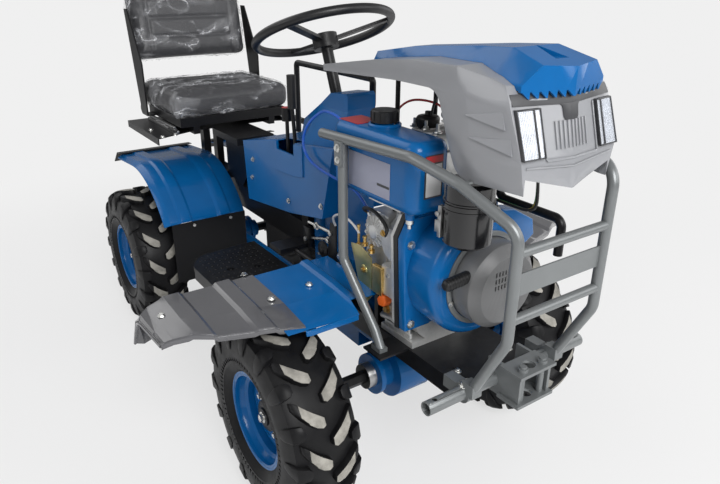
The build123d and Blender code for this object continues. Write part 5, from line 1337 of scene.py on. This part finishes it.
def makeHoodTrim():
    low, high, tab = hoodTrim["bandLow"], hoodTrim["bandHigh"], hoodTrim["tabLow"]

    def buildBand(shape):
        for side in (1, -1):
            frontPatch(shape, [(0, low), (side * 30, low), (side * 142, low + 4), (side * 140, high),
                               (0, high)], 0.6, 2.0)
            frontPatch(shape, [(0, tab), (side * 17, tab), (side * 21, tab + 6), (side * 23, low - 4),
                               (side * 30, low + 2), (0, low + 2)], 0.6, 2.0)

    def buildFrames(shape):
        for side in (1, -1):
            inner, outer = 84 * side, 138 * side
            for y0, z0, y1, z1 in ((inner - 1.8 * side, 1056, inner, 1146),
                                   (outer, 1056, outer + 1.8 * side, 1146), (inner, 1144, outer, 1146),
                                   (inner, 1056, outer, 1058),
                                   (inner + 13 * side, 1058, inner + 16 * side, 1144)):
                frontPatch(shape, [(y0, z0), (y1, z0), (y1, z1), (y0, z1)], 1.0, 8.0)

    def buildFlutes(shape):
        for side in (1, -1):
            for index in range(9):
                y = side * (101.5 + index * 4.0)
                frontPatch(shape, [(y, 1060), (y + side * 1.4, 1060), (y + side * 1.4, 1142), (y, 1142)],
                           5.4, 1.6)
            for index in range(16):
                z = 1061 + index * 5.1
                frontPatch(shape, [(side * 85, z), (side * 96, z), (side * 96, z + 1.8),
                                   (side * 85, z + 1.8)], 5.4, 1.4)

    def buildSteps(shape):
        for side in (1, -1):
            for corners in (((918, 1124), (1012, 1108), (1001, 1140)),
                            ((929, 1082), (1032, 1063), (1024, 1092))):
                flat = [hoodCheek(side, x, z, 0.1) for x, z in corners]
                raised = hoodCheek(side, corners[1][0], corners[1][1], 5.0)
                middle = hoodCheek(side, corners[0][0] + 6, corners[0][1] - 1, 3.0)
                points = [shape.verts.new(spot) for spot in (*flat, raised, middle)]
                rear, lower, upper, out, near = points
                for face in ((rear, lower, out, near), (rear, near, upper), (near, out, upper),
                             (lower, upper, out), (rear, upper, lower)):
                    shape.faces.new(face)

    def buildRidges(shape):
        for side in (1, -1):
            frontPatch(shape, [(side * 74, 1050), (side * 78, 1050), (side * 78, 1146), (side * 74, 1142)],
                       0.5, 3.0)
            frontPatch(shape, [(0, 1044), (side * 74, 1046), (side * 76, 1051), (0, 1049)], 0.5, 3.0)
            frontPatch(shape, [(0, 1028), (side * 128, 1038), (side * 128, 1042), (0, 1032)], 0.5, 2.4)

    detail("hood_band", buildBand, "trimDark", round_=0.6)
    detail("lamp_frames", buildFrames, "trimDark", round_=0.6)
    detail("lamp_flutes", buildFlutes, "reflector")
    detail("cheek_steps", buildSteps, "hoodGrey", smooth=False)
    detail("hood_ridges", buildRidges, "hoodGrey", round_=0.8)


makeHoodTrim()


# Screws at listed places. Columns: place, direction, radius, one where the far side has one too.
screwSpots = [
    ((550, -222.4, 986), (0, -1, 0), 7.0, 1), ((550, -222.4, 956), (0, -1, 0), 6.0, 1),
    ((961, -150, 506), (0, 0, 1), 8.0, 1), ((-164, -121, 712), (0, -1, 0), 6.0, 0),
    ((-150, -121, 780), (0, -1, 0), 6.0, 0), ((100, -121, 700), (0, -1, 0), 6.0, 0),
    ((300, -121, 740), (0, -1, 0), 6.0, 0), ((-421, -261, 478), (1, 0, 0), 6.5, 1),
    ((-421, -110, 478), (1, 0, 0), 6.5, 1), ((338, -398, 606), (-0.2, 0, 1), 7.0, 1),
    ((500, -398, 602), (0, 0, 1), 7.0, 1), ((477, -271, 597), (0, 0, 1), 7.0, 1),
    ((420, -660, 598), (0, 0, 1), 7.0, 1), ((-560, -300, 800.5), (0, 0, 1), 6.5, 1),
    ((-700, -300, 800.5), (0, 0, 1), 6.5, 1), ((-560, -250, 800.5), (0, 0, 1), 6.5, 1),
    ((640, -60, 475.5), (0, 0, 1), 7.0, 0), ((880, -90, 475.5), (0, 0, 1), 7.0, 1),
]


def makeScrews():
    for body in ("front_half", "rear_half"):
        def build(shape):
            for (x, y, z), (alongX, alongY, alongZ), radius, paired in screwSpots:
                if (x > 0) == (body == "front_half"):
                    for side in (1, -1) if paired else (1,):
                        addScrew(shape, at(x, side * y, z), (alongX, side * alongY, alongZ), radius * 0.001)
        detail("screws_" + body, build, "zinc", body)


makeScrews()


# Footplates: rows of raised studs.
def makeTread():
    def buildStud(shape):
        turnedAt(shape, (0, 0, 0), (0, 0, 1), [(0, 0), (3.4, 0), (2.6, 1.4), (0, 1.6)], 10)

    rows = []
    for side in (1, -1):
        for index in range(11):
            rows.append(repeated("studs", meshOf(buildStud), "blackPaint", 14, move=(0.030, 0, 0),
                                 place=Matrix.Translation(at(-176, side * (140 + index * 21), 448.1))))
    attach(joined("foot_studs", rows), "front_half")


makeTread()


# Seat slides and lever between the pan and its tray.
def makeSlides():
    def buildRails(shape):
        for side in (1, -1):
            boxAt(shape, (-905, side * 236 - 9, 800.5), (-575, side * 236 + 9, 812))
            boxAt(shape, (-890, side * 236 - 6, 812), (-600, side * 236 + 6, 824))
            for x in (-880, -790, -700, -610):
                turnedAt(shape, (x, side * 236, 812), (0, 0, 1), [(0, 0), (11, 0), (11, 4), (0, 5)], 18)

    def buildLever(shape):
        turnedAt(shape, (-620, -252, 818), (1, -0.12, 0.12),
                 [(0, 0), (4, 0), (4, 60), (8, 62), (8, 118), (0, 121)], 16)
        turnedAt(shape, (-925, -252, 845), (0, -1, 0), [(0, 0), (22, 0), (20, 6), (0, 8)], 24)

    detail("seat_slides", buildRails, "steel", "rear_half", round_=0.8)
    detail("seat_lever", buildLever, "gripPlastic", "rear_half")


makeSlides()


# Linkage under the control box.
def makeLinkage():
    def buildRods(shape):
        for y, low, high in ((-104, (196, 600), (330, 640)), (-112, (210, 660), (345, 668)),
                             (-96, (240, 560), (392, 610))):
            start, end = at(low[0], y, low[1]), at(high[0], y, high[1])
            addTurned(shape, [(0, 0), (0.005, 0), (0.005, (end - start).length), (0, (end - start).length)],
                      12, aimed(start, end - start))
        for x, z in ((196, 600), (330, 640), (345, 668), (392, 610), (262, 664)):
            addScrew(shape, at(x, -114, z), (0, -1, 0), 0.008)

    def buildPlates(shape):
        sidePlate(shape, [(318, 560), (372, 560), (372, 700), (340, 700)], -116, -111)
        boxAt(shape, (180, -116, 575), (214, -100, 640))
        turnedAt(shape, (300, -112, 600), (0, -1, 0),
                 [(0, 0), (26, 0), (26, 8), (12, 10), (12, 16), (0, 16)], 30)

    detail("linkage_rods", buildRods, "zinc")
    detail("linkage_plates", buildPlates, "blackPaint", round_=1.5)


makeLinkage()


# Wires and cables that the tractor holds at both ends.
wireRuns = [
    ("wire_green", [(930, 56, 1200), (928, 55, 1090), (930, 56, 990), (934, 58, 950), (930, 66, 900),
                    (916, 67, 874), (870, 67, 874), (800, 67, 874), (723, 67, 872)], 2.2, "wireGreen"),
    ("wire_yellow", [(934, 52, 1200), (932, 51, 1090), (934, 52, 990), (941, 54, 948), (934, 64, 900),
                     (918, 62, 876), (872, 61, 876), (802, 61, 876), (723, 61, 874)], 2.2, "wireYellow"),
    ("wire_sheath", [(938, 48, 1199), (936, 47, 1090), (938, 48, 990), (944, 52, 930), (938, 60, 890),
                     (920, 55, 878), (874, 53, 878), (804, 53, 878), (723, 53, 876)], 3.6, "wireBlack"),
    ("cable_blue", [(472, -148, 1024), (440, -150, 1036), (400, -150, 1040), (330, -130, 1030),
                    (262, -136, 985), (232, -138, 935), (238, -136, 892), (285, -134, 866),
                    (380, -134, 856), (440, -120, 846), (494, -111, 826), (519, -104, 788)],
     4.0, "cableBlue"),
    ("wire_red", [(336, -20, 1000), (420, -20, 992), (500, -20, 1000), (520, -20, 1050), (560, -14, 1082),
                  (620, -12, 1092), (690, -12, 1088), (722, -16, 1050), (724, -20, 1020)], 3.0, "wireRed"),
    ("wire_engine", [(660, -22, 1060), (664, -22, 1090), (690, -18, 1130), (716, -10, 1172),
                     (720, -8, 1204)],
     3.2, "wireBlack"),
    ("tube_white", [(368, -114, 700), (370, -128, 724), (405, -134, 752), (450, -136, 760),
                    (500, -134, 745), (512, -130, 728)],
     3.4, "plateWhite"),
    ("tube_steel", [(760, -160, 832), (758, -158, 820), (745, -150, 808), (700, -138, 795),
                    (672, -133, 782), (668, -126, 778)],
     3.0, "steel"),
    ("pump_tube", [(519, -104, 785), (503, -112, 792), (540, -130, 812), (590, -132, 815), (640, -134, 790),
                   (645, -138, 774), (645, -146, 769)],
     5.0, "wireBlack"),
]
for name, places, radius, finishName in wireRuns:
    wire(name, [at(*place) for place in places], radius * 0.001, finishName)
print("small pieces made")


# Stage: floor, lamps and camera.
stage = {
    "floorSize": 60.0,
    "floorColour": (0.86, 0.86, 0.86, 1),
    "floorPale": 0.72,
    "floorNear": 1.6,
    "floorFar": 3.2,
    "skyColour": (0.87, 0.87, 0.87, 1),
    "skyLight": 0.38,
    "cameraPlace": (1.8167, -1.0397, 1.3796),
    "cameraAzimuth": 34.2,
    "cameraPitch": 23.21,
    "focalPixels": 633.15,
    "imageWidth": 720,
    "imageHeight": 484,
    "centreU": 352.2,
    "centreV": 243.55,
    "sensor": 36.0,
}
# Columns: name, place, size, power.
lamps = [
    ("keyLamp", (4.4, -0.9, 3.2), 2.8, 200.0),
    ("frontLamp", (3.6, 2.6, 2.4), 2.6, 50.0),
    ("sideLamp", (-0.8, -4.4, 3.2), 3.0, 48.0),
    ("leftLamp", (0.6, 4.6, 2.0), 3.4, 45.0),
    ("rearLamp", (-3.8, -1.2, 4.2), 4.2, 60.0),
]


def pointAt(thing, place, goal):
    thing.location = place
    thing.rotation_euler = (Vector(goal) - Vector(place)).to_track_quat("-Z", "Y").to_euler()


def seenRays(tree):
    # One for what the camera sees, straight or through clear plastic.
    rays = addNode(tree, "ShaderNodeLightPath")
    seen = addNode(tree, "ShaderNodeMath", {"operation": "MAXIMUM"},
                   feeds=[(rays, "Is Camera Ray", 0), (rays, "Is Transmission Ray", 1)])
    return seen


def makeFloor():
    bpy.ops.mesh.primitive_plane_add(size=stage["floorSize"], location=(0, 0, 0))
    floor = bpy.context.object
    floor.name = "floor"
    paper, tree, shader = newMaterial("paper", {"Base Color": stage["floorColour"], "Roughness": 0.9,
                                                "Specular IOR Level": 0.0})
    glow = addNode(tree, "ShaderNodeEmission", None, {"Color": stage["skyColour"], "Strength": 1.0})
    place = addNode(tree, "ShaderNodeTexCoord")
    away = addNode(tree, "ShaderNodeVectorMath", {"operation": "LENGTH"}, feeds=[(place, "Object", 0)])
    pale = addNode(tree, "ShaderNodeMapRange", {"interpolation_type": "SMOOTHSTEP"},
                   {"From Min": stage["floorNear"], "From Max": stage["floorFar"],
                    "To Min": stage["floorPale"], "To Max": 1.0}, feeds=[(away, "Value", "Value")])
    share = addNode(tree, "ShaderNodeMath", {"operation": "MULTIPLY"}, feeds=[(pale, "Result", 0)])
    tree.links.new(seenRays(tree).outputs[0], share.inputs[1])
    mixed = addNode(tree, "ShaderNodeMixShader", feeds=[(share, 0, "Fac"), (shader, 0, 1), (glow, 0, 2)])
    tree.links.new(mixed.outputs[0], tree.nodes["Material Output"].inputs["Surface"])
    floor.data.materials.append(paper)


def makeSky():
    world = bpy.data.worlds.new("sky")
    bpy.context.scene.world = world
    world.use_nodes = True
    tree = world.node_tree
    background = tree.nodes["Background"]
    background.inputs["Color"].default_value = stage["skyColour"]
    background.inputs["Strength"].default_value = stage["skyLight"]
    seen = addNode(tree, "ShaderNodeBackground", None, {"Color": stage["skyColour"], "Strength": 1.0})
    mixed = addNode(tree, "ShaderNodeMixShader")
    tree.links.new(seenRays(tree).outputs[0], mixed.inputs["Fac"])
    link(tree, background, 0, mixed, 1)
    link(tree, seen, 0, mixed, 2)
    tree.links.new(mixed.outputs[0], tree.nodes["World Output"].inputs["Surface"])


def makeLamps():
    for name, place, size, power in lamps:
        data = bpy.data.lights.new(name, "AREA")
        data.shape = "DISK"
        data.size = size
        data.energy = power
        lamp = placed(name, data)
        pointAt(lamp, place, (0.1, 0, 0.6))


def makeCamera():
    data = bpy.data.cameras.new("camera")
    camera = placed("camera", data)
    azimuth = math.radians(stage["cameraAzimuth"])
    pitch = math.radians(stage["cameraPitch"])
    ahead = Vector((-math.cos(azimuth) * math.cos(pitch), math.sin(azimuth) * math.cos(pitch),
                    -math.sin(pitch)))
    camera.location = stage["cameraPlace"]
    camera.rotation_euler = ahead.to_track_quat("-Z", "Y").to_euler()
    data.sensor_width = stage["sensor"]
    data.sensor_fit = "HORIZONTAL"
    data.lens = stage["focalPixels"] * stage["sensor"] / stage["imageWidth"]
    data.shift_x = (stage["imageWidth"] / 2 - stage["centreU"]) / stage["imageWidth"]
    data.shift_y = (stage["centreV"] - stage["imageHeight"] / 2) / stage["imageWidth"]
    bpy.context.scene.camera = camera


makeFloor()
makeSky()
makeLamps()
makeCamera()
bpy.context.scene.view_settings.view_transform = "Standard"
print("stage set")
